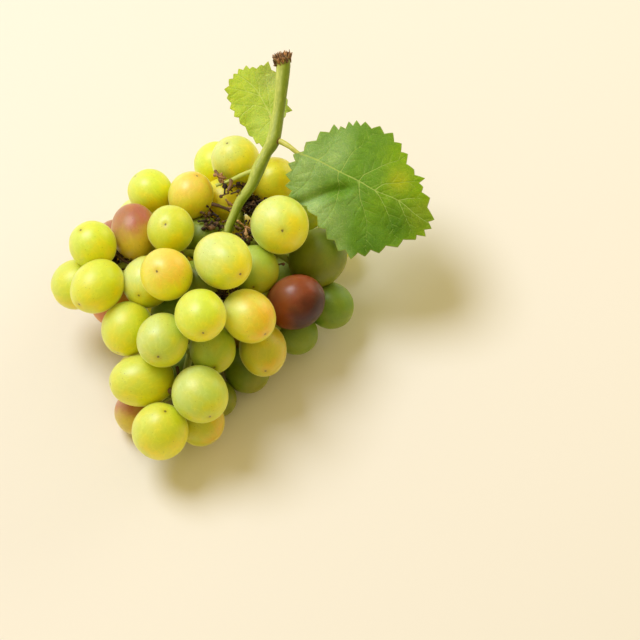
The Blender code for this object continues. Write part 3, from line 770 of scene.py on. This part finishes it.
def swept(bm, path, sides, lumpy=0.0, dry=0.0, ridges=0.0):
    """Adds a closed tube along a path of points and radii: a circle extruded from place to place.

    The share of lumps and of ridges is of the radius, and dry is 0 for green bark and 1 for brown."""
    bark = bm.verts.layers.float_vector.get("bark") or bm.verts.layers.float_vector.new("bark")
    dryness = bm.verts.layers.float.get("dryness") or bm.verts.layers.float.new("dryness")
    across = None
    ring = None
    along = 0.0
    for k, (point, radius) in enumerate(path):
        ahead = (path[min(k + 1, len(path) - 1)][0] - path[max(k - 1, 0)][0]).normalized()
        across = ahead.orthogonal() if across is None else across - ahead * across.dot(ahead)
        across.normalize()
        side = ahead.cross(across)
        if ring is None:
            ring = bmesh.ops.create_circle(bm, cap_ends=True, segments=sides, radius=1.0)["verts"]
        else:
            ring = next_ring(bm, ring)
            along += (point - path[k - 1][0]).length
        for n, vertex in enumerate(ring):
            turn = 2.0 * math.pi * n / sides
            out = across * math.cos(turn) + side * math.sin(turn)
            reach = 1.0 + lumpy * noise.noise((point + out * radius) * 0.9)
            reach += ridges * math.cos(6.0 * turn + 0.05 * along)
            vertex.co = (point + out * radius * reach) * MM
            vertex[bark] = (math.cos(turn), math.sin(turn), along)
            vertex[dryness] = dry
    bmesh.ops.holes_fill(bm, edges=ring_edges(bm, ring))


def stem_paint(name, green, brown, shaded=None):
    """Thin green bark with paler lengthwise streaks, brown where it is dry, and painted shade on one side
    when a shaded green is given.
    """
    paint = Paint(name)
    x, y, z = paint.parts(paint.attribute("bark", "Vector"))
    grain = paint.vector(x, y, paint.maths("MULTIPLY", z, 0.12))
    streak = paint.noise(grain, 3.2, 4.0, 0.6)
    patches = paint.noise(paint.object_place(), 420.0, 4.0, 0.6)
    colour = paint.mixed(paint.attribute("shaded"), green, shaded or green)
    colour = paint.tinted(paint.ramp(streak, 0.42, 0.7), colour, (1.35, 1.25, 1.6))
    colour = paint.tinted(paint.ramp(patches, 0.45, 0.80), colour, (0.86, 0.92, 0.8))
    dry = paint.maths("ADD", paint.attribute("dryness"), paint.maths("SUBTRACT", patches, 0.5))
    dry_colour = paint.tinted(paint.ramp(streak, 0.35, 0.7), brown, (2.6, 2.3, 2.0))
    colour = paint.mixed(paint.ramp(dry, 0.35, 0.65), colour, dry_colour)
    paint.put(colour, paint.shader.inputs["Base Color"])
    paint.shader.inputs["Roughness"].default_value = 0.48
    paint.shader.inputs["Subsurface Weight"].default_value = 0.15
    paint.shader.inputs["Subsurface Radius"].default_value = (1.0, 0.9, 0.3)
    paint.shader.inputs["Subsurface Scale"].default_value = 0.0015
    paint.bump(paint.maths("ADD", streak, patches), 0.00025, 0.3)
    return paint


bm = bmesh.new()
swept(bm, smooth_path(RACHIS, STEM_STEPS), STEM_SIDES, 0.15, 0.25)
for branch in BRANCHES:
    swept(bm, smooth_path(branch, STEM_STEPS), STEM_SIDES, 0.18, 0.35)
rng = random.Random(PEDICEL_SEED)
for name, centre, radius, outward, root, _ in bunch:
    neck = centre - outward * (radius * BERRY_STRETCH - PEDICEL_SINK)
    end = root
    for step in range(1, PEDICEL_PROBES):
        reached = neck + (root - neck) * (step / PEDICEL_PROBES)
        if any((reached - other[1]).length < other[2] - PEDICEL_DEPTH for other in bunch if other[0] != name):
            end = reached
            break
    rows = []
    for step in range(PEDICEL_STEPS + 1):
        share = step / PEDICEL_STEPS
        swell = max(0.0, 1.0 - ((1.0 - share) / COLLAR_SHARE) ** 2)
        thick = PEDICEL_RADIUS + (COLLAR_RADIUS - PEDICEL_RADIUS) * swell
        rows.append((end + (neck - end) * share, thick))
    swept(bm, rows, PEDICEL_SIDES, 0.22, rng.choice(PEDICEL_DRYNESS))
bmesh.ops.recalc_face_normals(bm, faces=bm.faces)
finished(bm, "bunch_stems", stem_paint("stem_bark", STEM_GREEN, STEM_BROWN), "green_stalk", "berry_cluster")


# Dry bits
# Withered flower stems and shrivelled unset fruit, brown and brittle, caught between the berries
# round the foot of the stalk. They hang on the stems that they withered on. The darkest bits are
# partly real dried bits and partly dark bits set in gaps between berries as painted shade.

# A cluster's place, its spread, how many bits it has, and its tone from dark 0 to tan 1; the darkest
# clusters partly paint the shade in the gaps between berries
CLUSTERS = [
    (4.5, 49.5, 47.0, 5.0, 34, 0.15),
    (23.5, 59.2, 41.0, 3.4, 46, 0.05),
    (18.6, 65.4, 47.0, 1.4, 10, 0.15),
    (20.5, 44.5, 47.0, 4.2, 28, 0.15),
    (19.6, 47.0, 51.0, 1.3, 5, 0.95),
    (12.6, 57.0, 49.0, 1.8, 7, 0.85),
    (21.5, 55.5, 39.0, 2.8, 24, 0.08),
    (9.8, 69.0, 56.0, 1.6, 6, 0.75),
    (12.4, 63.2, 54.0, 1.2, 5, 0.15),
    (4.5, 23.0, 50.0, 3.6, 26, 0.15),
    (9.5, 19.5, 48.0, 3.4, 28, 0.12),
    (15.0, 17.5, 46.0, 3.2, 20, 0.1),
    (30.5, 28.0, 40.0, 3.6, 10, 0.15),
    (-35.0, 34.0, 32.0, 6.0, 54, 0.10),
    (-34.0, 33.0, 24.0, 6.0, 40, 0.10),
    (-36.5, 36.5, 40.0, 2.0, 14, 0.12),
    (-38.8, 32.0, 38.0, 1.6, 12, 0.12),
    (-30.8, 33.5, 40.0, 1.6, 10, 0.12),
    (-11.0, -22.5, 30.0, 3.6, 8, 0.2),
    (-10.0, 36.0, 44.0, 3.0, 8, 0.2),
]
BARE_STEMS = [
    [(4.8, 57.6, 52.0, 0.9), (9.0, 56.4, 51.5, 0.7), (13.8, 54.4, 50.0, 0.8)],
    [(-36.6, 34.6, 43.0, 0.9), (-34.8, 33.0, 42.0, 0.7), (-31.0, 31.0, 40.0, 0.8)],
    [(-9.6, -14.0, 38.0, 0.8), (-8.6, -20.0, 34.0, 0.7), (-9.5, -27.0, 28.0, 0.8)],
]
BIT_SEED = 5
BIT_LENGTH = (1.6, 4.4)
BIT_THICK = (0.28, 0.55)
BIT_KNOB = (1.2, 2.6)
BARE_STEM_TONE = 0.12
# the darkest brown is also the colour of the painted shade in the gaps
DRY_DARK_AND_GAP_SHADE = (0.022, 0.010, 0.006)
DRY_TAN = (0.42, 0.24, 0.11)


def dead_wood(bm, rows, sides, lumpy, tone):
    """Adds a dry tube, which may be a dark bit set as painted shade in a gap, and marks its tone on each of
    its points.
    """
    start = len(bm.verts)
    swept(bm, rows, sides, lumpy)
    bm.verts.ensure_lookup_table()
    dark_to_tan = bm.verts.layers.float.get("dark_to_tan")
    for vertex in bm.verts[start:]:
        vertex[dark_to_tan] = tone


bm = bmesh.new()
rng = random.Random(BIT_SEED)
bm.verts.layers.float.new("dark_to_tan")
for across, up, height, spread, count, tone in CLUSTERS:
    for _ in range(count):
        stray = [rng.gauss(0, spread * share) for share in (0.5, 0.5, 0.4)]
        at = Vector(place(across + stray[0], up + stray[1], height + stray[2]))
        way = Vector([rng.uniform(-1, 1) for _ in range(3)]).normalized()
        bend = Vector([rng.uniform(-1, 1) for _ in range(3)]) * 0.9
        length = rng.uniform(*BIT_LENGTH)
        thick = rng.uniform(*BIT_THICK)
        rows = [
            (at + way * length * t + bend * t * t, thick * (1.0 - 0.3 * t))
            for t in (0.0, 0.35, 0.7, 0.9)
        ]
        knob = rng.uniform(*BIT_KNOB) * thick
        tip = rows[-1][0] + way * knob
        rows += [(tip, knob), (tip + way * knob * 0.9, knob * 0.5)]
        dead_wood(bm, rows, 7, 0.7, min(1.0, max(0.0, tone + rng.gauss(0, 0.15))))
for rows in BARE_STEMS:
    dead_wood(bm, smooth_path(rows, 6), 9, 0.25, BARE_STEM_TONE)
bmesh.ops.recalc_face_normals(bm, faces=bm.faces)
dry_paint = Paint("dry_brown")
crumbs = dry_paint.noise(dry_paint.object_place(), 900.0, 4.0, 0.65)
colour = dry_paint.mixed(dry_paint.attribute("dark_to_tan"), DRY_DARK_AND_GAP_SHADE, DRY_TAN)
colour = dry_paint.tinted(dry_paint.ramp(crumbs, 0.4, 0.7), colour, (1.9, 1.6, 1.4))
dry_paint.put(colour, dry_paint.shader.inputs["Base Color"])
dry_paint.shader.inputs["Roughness"].default_value = 0.8
dry_paint.bump(crumbs, 0.0004, 0.8)
finished(bm, "dry_bits", dry_paint, "green_stalk", "berry_cluster")


# Stalk
# The cane stub that the bunch was cut with: smooth green bark with shallow ridges and two swollen
# joints. A thin twig leaves the lower joint for a pair of brown forks.
STALK_GREEN = (0.53, 0.60, 0.120)
STALK_SHADED = (0.19, 0.26, 0.006)
STALK_BROWN = (0.13, 0.065, 0.022)
STALK_SIDES = 48
JOINT_SPOT = (34.6, 85.4, 68.0)
JOINT_REACH = 2.2
CRUST_LENGTH = 3.2
FORK_DRYNESS = 0.9

# The shares of the rows' radii that the stalk has at its foot, where it is slimmest, and the twig has
STALK_SLIM = 0.78
TWIG_THIN = 0.75

bm = bmesh.new()
stalk_path = smooth_path(STALK, 14)
stalk_path = [
    (point, radius * (STALK_SLIM + (1.0 - STALK_SLIM) * k / len(stalk_path)))
    for k, (point, radius) in enumerate(stalk_path)
]
swept(bm, stalk_path, STALK_SIDES, 0.02, 0.0, 0.010)
dryness = bm.verts.layers.float.get("dryness")
shaded = bm.verts.layers.float.new("shaded")
joint = Vector(place(*JOINT_SPOT))
cut_end = stalk_path[-1][0]
for vertex in bm.verts:
    point = vertex.co / MM
    near_joint = math.exp(-(((point - joint).length / JOINT_REACH) ** 2))
    near_cut = math.exp(-(((point - cut_end).length / (CRUST_LENGTH + 1.2)) ** 4))
    vertex[dryness] = 0.75 * near_joint + 0.95 * near_cut
    middle, radius = min(stalk_path, key=lambda one: (one[0] - point).length)
    # painted shade: the side away from the key light is mixed towards the darker shaded green
    vertex[shaded] = min(1.0, max(0.0, 0.68 + 0.85 * (point.x - middle.x) / radius))
swept(bm, [(point, radius * TWIG_THIN) for point, radius in smooth_path(TWIG, 10)], 14, 0.12, 0.12)
for fork in TWIG_FORKS:
    swept(bm, smooth_path(fork, 8), 10, 0.35, FORK_DRYNESS)
bmesh.ops.recalc_face_normals(bm, faces=bm.faces)
bark = stem_paint("stalk_bark", STALK_GREEN, STALK_BROWN, STALK_SHADED)
finished(bm, "stalk_bark", bark, "green_stalk", "stalk")


# Cut end
# Torn brown fibres and bark crust round the end of the stalk, where it was snapped from the cane.
# They are the stalk's own wood, frayed and dried.
FIBRES = 150
FIBRE_SEED = 8
FIBRE_LENGTH = (1.0, 3.2)
FIBRE_THICK = (0.32, 0.82)
FIBRE_TONES = [0.2, 0.45, 0.7, 1.0]
RIM_REACH = 2.9

bm = bmesh.new()
rng = random.Random(FIBRE_SEED)
bm.verts.layers.float.new("dark_to_tan")
stalk_way = (stalk_path[-1][0] - stalk_path[-4][0]).normalized()
level = stalk_way.orthogonal().normalized()
other = stalk_way.cross(level)
for _ in range(FIBRES):
    turn = rng.uniform(0.0, 2.0 * math.pi)
    out = level * math.cos(turn) + other * math.sin(turn)
    reach = stalk_path[-1][1] * math.sqrt(rng.uniform(0.02, 1.0))
    back = rng.uniform(0.2, CRUST_LENGTH) if reach > RIM_REACH else rng.uniform(0.0, 0.6)
    foot = cut_end + out * reach - stalk_way * back
    lean = out * rng.uniform(-0.1, 0.45) + Vector([rng.gauss(0, 0.3) for _ in range(3)])
    way = (stalk_way + lean).normalized()
    length = rng.uniform(*FIBRE_LENGTH)
    thick = rng.uniform(*FIBRE_THICK)
    rows = [
        (foot + way * length * t + lean * t * t * 0.7, thick * (1.0 - 0.75 * t))
        for t in (0.0, 0.4, 0.75, 1.0)
    ]
    dead_wood(bm, rows, 5, 0.4, rng.choice(FIBRE_TONES))
bmesh.ops.recalc_face_normals(bm, faces=bm.faces)
finished(bm, "cut_end_fibres", dry_paint, "green_stalk", "stalk")


# Leaves
# Two young vine leaves with toothed edges: thin soft blades, puckered between sunken pale veins
# and paler below. Each grows from a joint of the stalk on its own thin leaf stalk.

# A leaf's places are (across, up). The tips are those of its teeth, in order round the blade. Heights
# are at its base and apex, body holds its greens from left to right, and a tint spot its place, reach
# and colour. Its stalk's rows are places and radii. On the large leaf the pale left green is painted
# sheen, the yellow right green is painted light through the blade, and the dark tint spots are painted shade.
LARGE_LEAF = {
    "tips": [
        (46.6, 84.9), (52.8, 89.8), (59.0, 93.3), (62.0, 92.4), (65.6, 94.6), (69.1, 95.2), (73.0, 94.6),
        (79.6, 92.8), (85.4, 89.8), (89.3, 84.9), (92.0, 80.1), (94.6, 73.0), (99.4, 69.1), (98.6, 65.1),
        (101.6, 60.3), (103.4, 50.6), (102.1, 46.6), (99.4, 43.1), (95.0, 41.6), (87.0, 38.2),
        (78.8, 35.6), (72.6, 34.2), (66.4, 33.0), (60.7, 36.6), (55.9, 41.8), (51.9, 47.1), (47.6, 54.0),
        (41.8, 57.2), (38.8, 60.8), (37.4, 65.4), (37.6, 70.4), (38.7, 75.2), (40.9, 79.2),
    ],
    "middle": (69.0, 65.0),
    "base": (42.7, 80.1),
    "apex": (102.1, 48.0),
    "heights": (67.5, 51.0),
    "tooth": 2.3,
    "wave": 5.0,
    "droop": 0.3,
    "stalk": [
        (33.2, 85.7, 67.2, 1.5), (35.9, 84.9, 67.5, 1.3), (39.6, 82.6, 68.2, 1.1),
        (42.6, 80.2, 67.4, 1.0), (46.5, 77.6, 66.3, 0.8),
    ],
    "midrib": [
        (42.7, 80.1), (51.7, 76.7), (60.9, 71.9), (70.0, 67.5),
        (77.0, 63.4), (87.4, 59.0), (95.0, 52.8), (101.0, 48.8),
    ],
    "side_veins": [
        [(44.5, 79.5), (47.5, 84.0), (51.5, 88.0)],
        [(44.5, 79.5), (42.6, 75.0), (39.5, 70.0)],
        [(51.7, 76.7), (55.2, 79.5), (58.5, 84.5), (60.0, 91.0)],
        [(51.7, 76.7), (50.0, 73.0), (46.6, 66.5), (40.5, 61.5)],
        [(61.8, 71.5), (63.4, 74.1), (67.2, 80.4), (73.5, 85.5), (77.5, 91.0)],
        [(60.9, 71.9), (60.6, 68.4), (61.3, 64.8), (59.0, 56.0), (53.0, 47.5)],
        [(70.0, 67.5), (72.2, 70.3), (77.3, 72.9), (82.4, 75.4), (88.7, 77.6), (91.5, 79.5)],
        [(70.0, 67.5), (70.4, 60.3), (72.2, 54.6), (73.5, 47.6), (72.8, 36.0)],
        [(77.0, 63.4), (81.1, 66.2), (88.0, 67.0), (97.0, 68.0)],
        [(77.0, 63.4), (79.2, 60.5), (82.4, 54.0), (85.0, 46.0), (86.4, 39.5)],
        [(87.4, 59.0), (93.0, 60.0), (99.5, 60.0)],
        [(87.4, 59.0), (90.0, 53.0), (94.0, 43.5)],
    ],
    "fold": [(40.0, 56.5), (48.0, 59.0), (56.0, 62.5), (64.0, 64.0)],
    "fold_depth": 2.3,
    # painted sheen and light: the pale greyish green on the left is painted sheen, the yellow green on the
    # right painted light through the blade
    "body": [(0.390, 0.560, 0.200), (0.145, 0.300, 0.022), (0.215, 0.365, 0.001)],
    "tint_spots": [
        # The dark green spots, at the fold's left end and along the lower edge where the blade curves down,
        # are painted shade.
        ((42.5, 57.0), 3.4, (0.060, 0.150, 0.012)), ((88.0, 68.0), 5.0, (0.42, 0.44, 0.010)),
        ((97.0, 52.0), 7.0, (0.24, 0.27, 0.012)), ((87.0, 48.0), 8.5, (0.050, 0.150, 0.004)),
        ((75.0, 38.0), 6.5, (0.060, 0.160, 0.006)),
    ],
    "vein_colour": (0.48, 0.58, 0.14),
    "slot": "leaf_green",
    "seed": 21,
    "rings": 70,
}
SMALL_LEAF = {
    "tips": [
        (27.3, 82.9), (24.4, 84.6), (21.1, 88.4), (17.2, 93.8), (14.5, 96.9), (12.6, 100.6),
        (11.2, 105.2), (10.1, 109.2), (12.1, 113.8), (14.1, 116.4), (16.3, 118.8), (19.8, 120.3),
        (22.6, 119.6), (26.4, 120.6), (29.5, 122.3), (33.6, 117.0), (36.6, 110.6), (38.4, 104.6),
        (40.5, 99.9), (37.2, 97.0),
    ],
    "middle": (23.0, 104.0),
    "base": (31.5, 95.6),
    "apex": (13.5, 115.0),
    "heights": (61.0, 68.0),
    "tooth": 1.35,
    "wave": 4.0,
    "droop": 0.0,
    "stalk": [
        (31.9, 85.6, 66.0, 1.3), (31.0, 85.8, 62.8, 1.2), (31.0, 90.0, 61.4, 1.1),
        (31.4, 95.0, 60.9, 0.9), (29.4, 98.0, 60.6, 0.4),
    ],
    "midrib": [(31.5, 95.6), (28.1, 102.6), (23.0, 110.6), (15.0, 116.4)],
    "side_veins": [
        [(31.0, 97.0), (30.0, 105.0), (28.8, 113.0), (29.0, 120.5)],
        [(29.6, 99.6), (26.0, 101.6), (18.0, 102.0), (12.5, 103.0)],
        [(31.5, 95.6), (27.5, 91.8), (24.4, 87.5)],
        [(31.5, 95.6), (35.0, 98.5), (39.0, 99.8)],
        [(25.8, 106.3), (21.0, 108.0), (12.0, 110.0)],
        [(25.8, 106.3), (25.2, 112.0), (23.0, 118.4)],
        [(30.4, 101.5), (33.5, 106.0), (36.0, 109.5)],
        [(23.0, 101.9), (18.5, 98.0), (16.4, 95.6)],
    ],
    "fold": [(30.0, 97.0), (26.0, 105.0), (22.0, 112.0)],
    "fold_depth": 0.5,
    "body": [(0.47, 0.60, 0.050), (0.45, 0.58, 0.060), (0.50, 0.62, 0.120)],
    "tint_spots": [((31.0, 112.0), 7.0, (0.40, 0.48, 0.14))],
    "vein_colour": (0.66, 0.72, 0.20),
    "slot": "leaf_pale",
    "seed": 34,
    "rings": 46,
}
BLADE_THICKNESS = 0.4
BLADE_ARCH = 0.0035
TOOTH_STEPS = 8
BLADE_RIPPLE = 0.35
VEIN_SINK = 0.14
VEIN_STEPS = 6
PUCKER = 0.16
FOLD_WIDTH = 2.4
TWIG_VEIN_GAP = 4.4
TWIG_VEIN_LENGTH = (5.0, 8.5)
TWIG_VEIN_LEAN = (48.0, 64.0)
NO_VEIN = 1e3
BACK_PALER = 1.35
LEAF_STALK_SIDES = 14
LEAF_STALK_STEPS = 12
LEAF_STALK_GREEN = (0.56, 0.56, 0.11)


def leaf_height(leaf, across, up):
    """The middle of the blade's thickness: it sags from its leaf stalk to its tip, and its edge waves."""
    base = np.array(leaf["base"])
    rib = np.array(leaf["apex"]) - base
    rib_length = np.hypot(*rib)
    x = across - base[0]
    y = up - base[1]
    along = (x * rib[0] + y * rib[1]) / rib_length**2
    off = (x * rib[1] - y * rib[0]) / rib_length
    out_x = across - leaf["middle"][0]
    out_y = up - leaf["middle"][1]
    height = leaf["heights"][0] + (leaf["heights"][1] - leaf["heights"][0]) * along
    height = height - BLADE_ARCH * off**2 - leaf["droop"] * np.maximum(off, 0.0)
    edge = np.hypot(out_x, out_y) / rib_length
    return height + leaf["wave"] * edge**2 * np.sin(5.0 * np.arctan2(out_y, out_x) + 0.7)


def rounded(line):
    """A vein's points on a smooth curve through the given ones."""
    corners = [Vector((x, y, 0.0)) for x, y in line]
    return np.array([tuple(point)[:2] for point, _, _ in through(corners, VEIN_STEPS)])


def veins_of(leaf):
    """Every vein as its points, its half width at each end, and whether it is a small one."""
    rng = random.Random(leaf["seed"])
    main = [(rounded(leaf["midrib"]), 0.46, 0.14, False)]
    main += [(rounded(line), 0.28, 0.08, False) for line in leaf["side_veins"]]
    small = []
    for line, _, _, _ in main:
        steps = np.linalg.norm(np.diff(line, axis=0), axis=1)
        run = np.concatenate([[0.0], np.cumsum(steps)])
        at = TWIG_VEIN_GAP * 0.8
        side = 1
        while at < run[-1] - 1.0:
            k = int(np.searchsorted(run, at)) - 1
            start = line[k] + (line[k + 1] - line[k]) * (at - run[k]) / steps[k]
            way = (line[k + 1] - line[k]) / steps[k]
            lean = math.radians(rng.uniform(*TWIG_VEIN_LEAN)) * side
            cos, sin = math.cos(lean), math.sin(lean)
            turned = np.array([way[0] * cos - way[1] * sin, way[0] * sin + way[1] * cos])
            length = rng.uniform(*TWIG_VEIN_LENGTH) * (1.0 - 0.45 * at / run[-1])
            bow = way * length * 0.18
            half_way = start + turned * length * 0.5 + bow * 0.4
            small.append((np.array([start, half_way, start + turned * length + bow]), 0.20, 0.06, True))
            at += TWIG_VEIN_GAP * rng.uniform(0.4, 0.62)
            side = -side
    return main + small


def from_veins(spots, veins):
    """How far each spot is from the nearest vein, in that vein's half widths."""
    nearest = np.full(len(spots), NO_VEIN)
    for line, wide, narrow, _ in veins:
        for k, (start, end) in enumerate(zip(line[:-1], line[1:])):
            run = end - start
            share = np.clip(((spots - start) @ run) / (run @ run), 0.0, 1.0)
            far = np.linalg.norm(spots - start - share[:, None] * run, axis=1)
            width = wide + (narrow - wide) * (k + share) / (len(line) - 1)
            nearest = np.minimum(nearest, far / width)
    return nearest


def leaf_blade(name, leaf):
    """A blade from its outline drawn in to the middle ring by ring, then given its thickness."""
    middle = np.array(leaf["middle"])
    tips = [np.array(tip) for tip in leaf["tips"]]
    outline = []
    for tip, after in zip(tips, tips[1:] + tips[:1]):
        valley = (tip + after) * 0.5
        valley = valley + (middle - valley) / np.linalg.norm(middle - valley) * leaf["tooth"]
        for start, end, belly in ((tip, valley, 0.10), (valley, after, 0.30)):
            bulge = (start + end) * 0.5 - middle
            bulge /= np.linalg.norm(bulge)
            for step in range(TOOTH_STEPS):
                t = step / TOOTH_STEPS
                outline.append(start + (end - start) * t + bulge * belly * 4.0 * t * (1.0 - t) * 0.5)
    outline = np.array(outline)
    count = len(outline)
    bm = bmesh.new()
    flat = bm.verts.layers.float_vector.new("leaf_place")
    near = bm.verts.layers.float_vector.new("from_vein")
    tone = bm.verts.layers.float_color.new("tone")
    ring = bmesh.ops.create_circle(bm, cap_ends=False, segments=count, radius=1.0)["verts"]
    rings = [ring]
    for _ in range(leaf["rings"]):
        rings.append(next_ring(bm, rings[-1]))
    shares = 1.0 - np.linspace(0.0, 1.0, leaf["rings"] + 2)[:-1]
    spots = np.concatenate([middle + (outline - middle) * share for share in shares])
    verts = [vertex for ring in rings for vertex in ring]
    veins = veins_of(leaf)
    big = from_veins(spots, [vein for vein in veins if not vein[3]])
    small = from_veins(spots, [vein for vein in veins if vein[3]])
    fold = from_veins(spots, [(rounded(leaf["fold"]), 1.0, 1.0, False)])
    height = leaf_height(leaf, spots[:, 0], spots[:, 1])
    height = height - VEIN_SINK * np.exp(-((big / 1.6) ** 2))
    height = height - VEIN_SINK * 0.4 * np.exp(-((small / 1.8) ** 2))
    height = height + PUCKER * (1.0 - np.exp(-((np.minimum(big * 0.4, small * 0.35) / 2.2) ** 2)))
    height = height - leaf["fold_depth"] * np.exp(-((fold / FOLD_WIDTH) ** 2))
    left, centre, right = [np.array(colour) for colour in leaf["body"]]
    low, high = spots[:, 0].min(), spots[:, 0].max()
    for k, vertex in enumerate(verts):
        x, y = spots[k]
        wobble = noise.noise(Vector((x * 0.07, y * 0.07, leaf["seed"])))
        ripple = BLADE_RIPPLE * noise.noise(Vector((x * 0.22, y * 0.22, leaf["seed"] + 5.0)))
        point = place(x, y, height[k] + ripple)
        vertex.co = Vector(point) * MM
        vertex[flat] = (x, y, 0.0)
        vertex[near] = (min(big[k], 20.0), min(small[k], 20.0), 1.0 - shares[k // count])
        # the greens run left to right; on the large leaf this paints sheen on the left and light through the
        # blade on the right
        share = min(1.0, max(0.0, (x - low) / (high - low) + 0.35 * wobble))
        colour = left + (centre - left) * min(1.0, share * 2.0)
        colour = colour + (right - centre) * max(0.0, share * 2.0 - 1.0)
        # tint spots: on the large leaf the dark green ones are painted shade
        for (spot_x, spot_y), reach, tint in leaf["tint_spots"]:
            close = math.exp(-(((x - spot_x) ** 2 + (y - spot_y) ** 2) / reach**2)) * (0.7 + 0.6 * wobble)
            colour = colour + (np.array(tint) - colour) * max(0.0, min(1.0, close))
        vertex[tone] = (*colour, 1.0)
    centre_place = sum((vertex.co for vertex in rings[-1]), Vector()) / count
    bmesh.ops.pointmerge(bm, verts=rings[-1], merge_co=centre_place)
    bmesh.ops.recalc_face_normals(bm, faces=bm.faces)
    if sum(face.normal.z for face in bm.faces) < 0.0:
        bmesh.ops.reverse_faces(bm, faces=bm.faces)
    piece = finished(bm, name + "_blade", leaf_paint(name + "_blade_face", leaf, 1.0), leaf["slot"], name)
    piece.data.materials.append(leaf_paint(name + "_blade_back", leaf, BACK_PALER).material)
    body = piece.modifiers.new("thickness", "SOLIDIFY")
    body.thickness = BLADE_THICKNESS * MM
    body.offset = 0.0
    body.material_offset = 1


def leaf_paint(name, leaf, paler):
    """Soft green blade with pale veins, a fine net between them and a yellower rim; paler is 1 or more."""
    paint = Paint(name)
    flat = paint.attribute("leaf_place", "Vector")
    big, small, inward = paint.parts(paint.attribute("from_vein", "Vector"))
    pale = (paler, paler * 0.98, paler * 1.1)
    colour = paint.mixed(1.0, paint.attribute("tone", "Color"), pale, "MULTIPLY")
    cloudy = paint.noise(flat, 0.25, 4.0, 0.6)
    grain = paint.noise(flat, 2.2, 4.0, 0.65)
    colour = paint.tinted(paint.ramp(cloudy, 0.40, 0.70), colour, (1.16, 1.10, 1.05))
    colour = paint.tinted(paint.ramp(grain, 0.42, 0.75), colour, (0.82, 0.89, 0.75))
    net = paint.cells(flat, 0.62, "DISTANCE_TO_EDGE")["Distance"]
    net_share = paint.less(net, 0.015, 0.085)
    colour = paint.tinted(paint.maths("MULTIPLY", net_share, 0.5), colour, (1.5, 1.32, 1.5))
    shade = paint.maths("MULTIPLY", paint.less(big, 1.0, 4.5), 0.35)
    colour = paint.tinted(shade, colour, (0.72, 0.86, 0.75))
    for width, low, high, share in ((small, 0.5, 1.6, 0.28), (big, 0.55, 1.25, 0.72)):
        vein = paint.maths("MULTIPLY", paint.less(width, low, high), share)
        colour = paint.mixed(vein, colour, leaf["vein_colour"])
    rim = paint.maths("MULTIPLY", paint.less(inward, 0.0, 0.03), 0.5)
    colour = paint.mixed(rim, colour, (0.34, 0.38, 0.05))
    shader = paint.shader
    paint.put(colour, shader.inputs["Base Color"])
    paint.put(paint.maths("ADD", paint.maths("MULTIPLY", grain, 0.2), 0.40), shader.inputs["Roughness"])
    shader.inputs["Specular IOR Level"].default_value = 0.15
    shader.inputs["Subsurface Weight"].default_value = 0.35
    shader.inputs["Subsurface Radius"].default_value = (0.7, 1.0, 0.15)
    shader.inputs["Subsurface Scale"].default_value = 0.0012
    relief = paint.maths("ADD", paint.maths("MULTIPLY", net_share, -0.5), paint.maths("MULTIPLY", grain, 0.5))
    paint.bump(relief, 0.0003, 0.7)
    return paint


leaf_blade("large_leaf", LARGE_LEAF)
leaf_blade("small_leaf", SMALL_LEAF)

for name, leaf in (("large_leaf", LARGE_LEAF), ("small_leaf", SMALL_LEAF)):
    bm = bmesh.new()
    swept(bm, smooth_path(leaf["stalk"], LEAF_STALK_STEPS), LEAF_STALK_SIDES, 0.10, 0.2)
    bmesh.ops.recalc_face_normals(bm, faces=bm.faces)
    petiole = stem_paint(name + "_stalk_skin", LEAF_STALK_GREEN, STALK_BROWN)
    finished(bm, name + "_stalk", petiole, leaf["slot"], name)
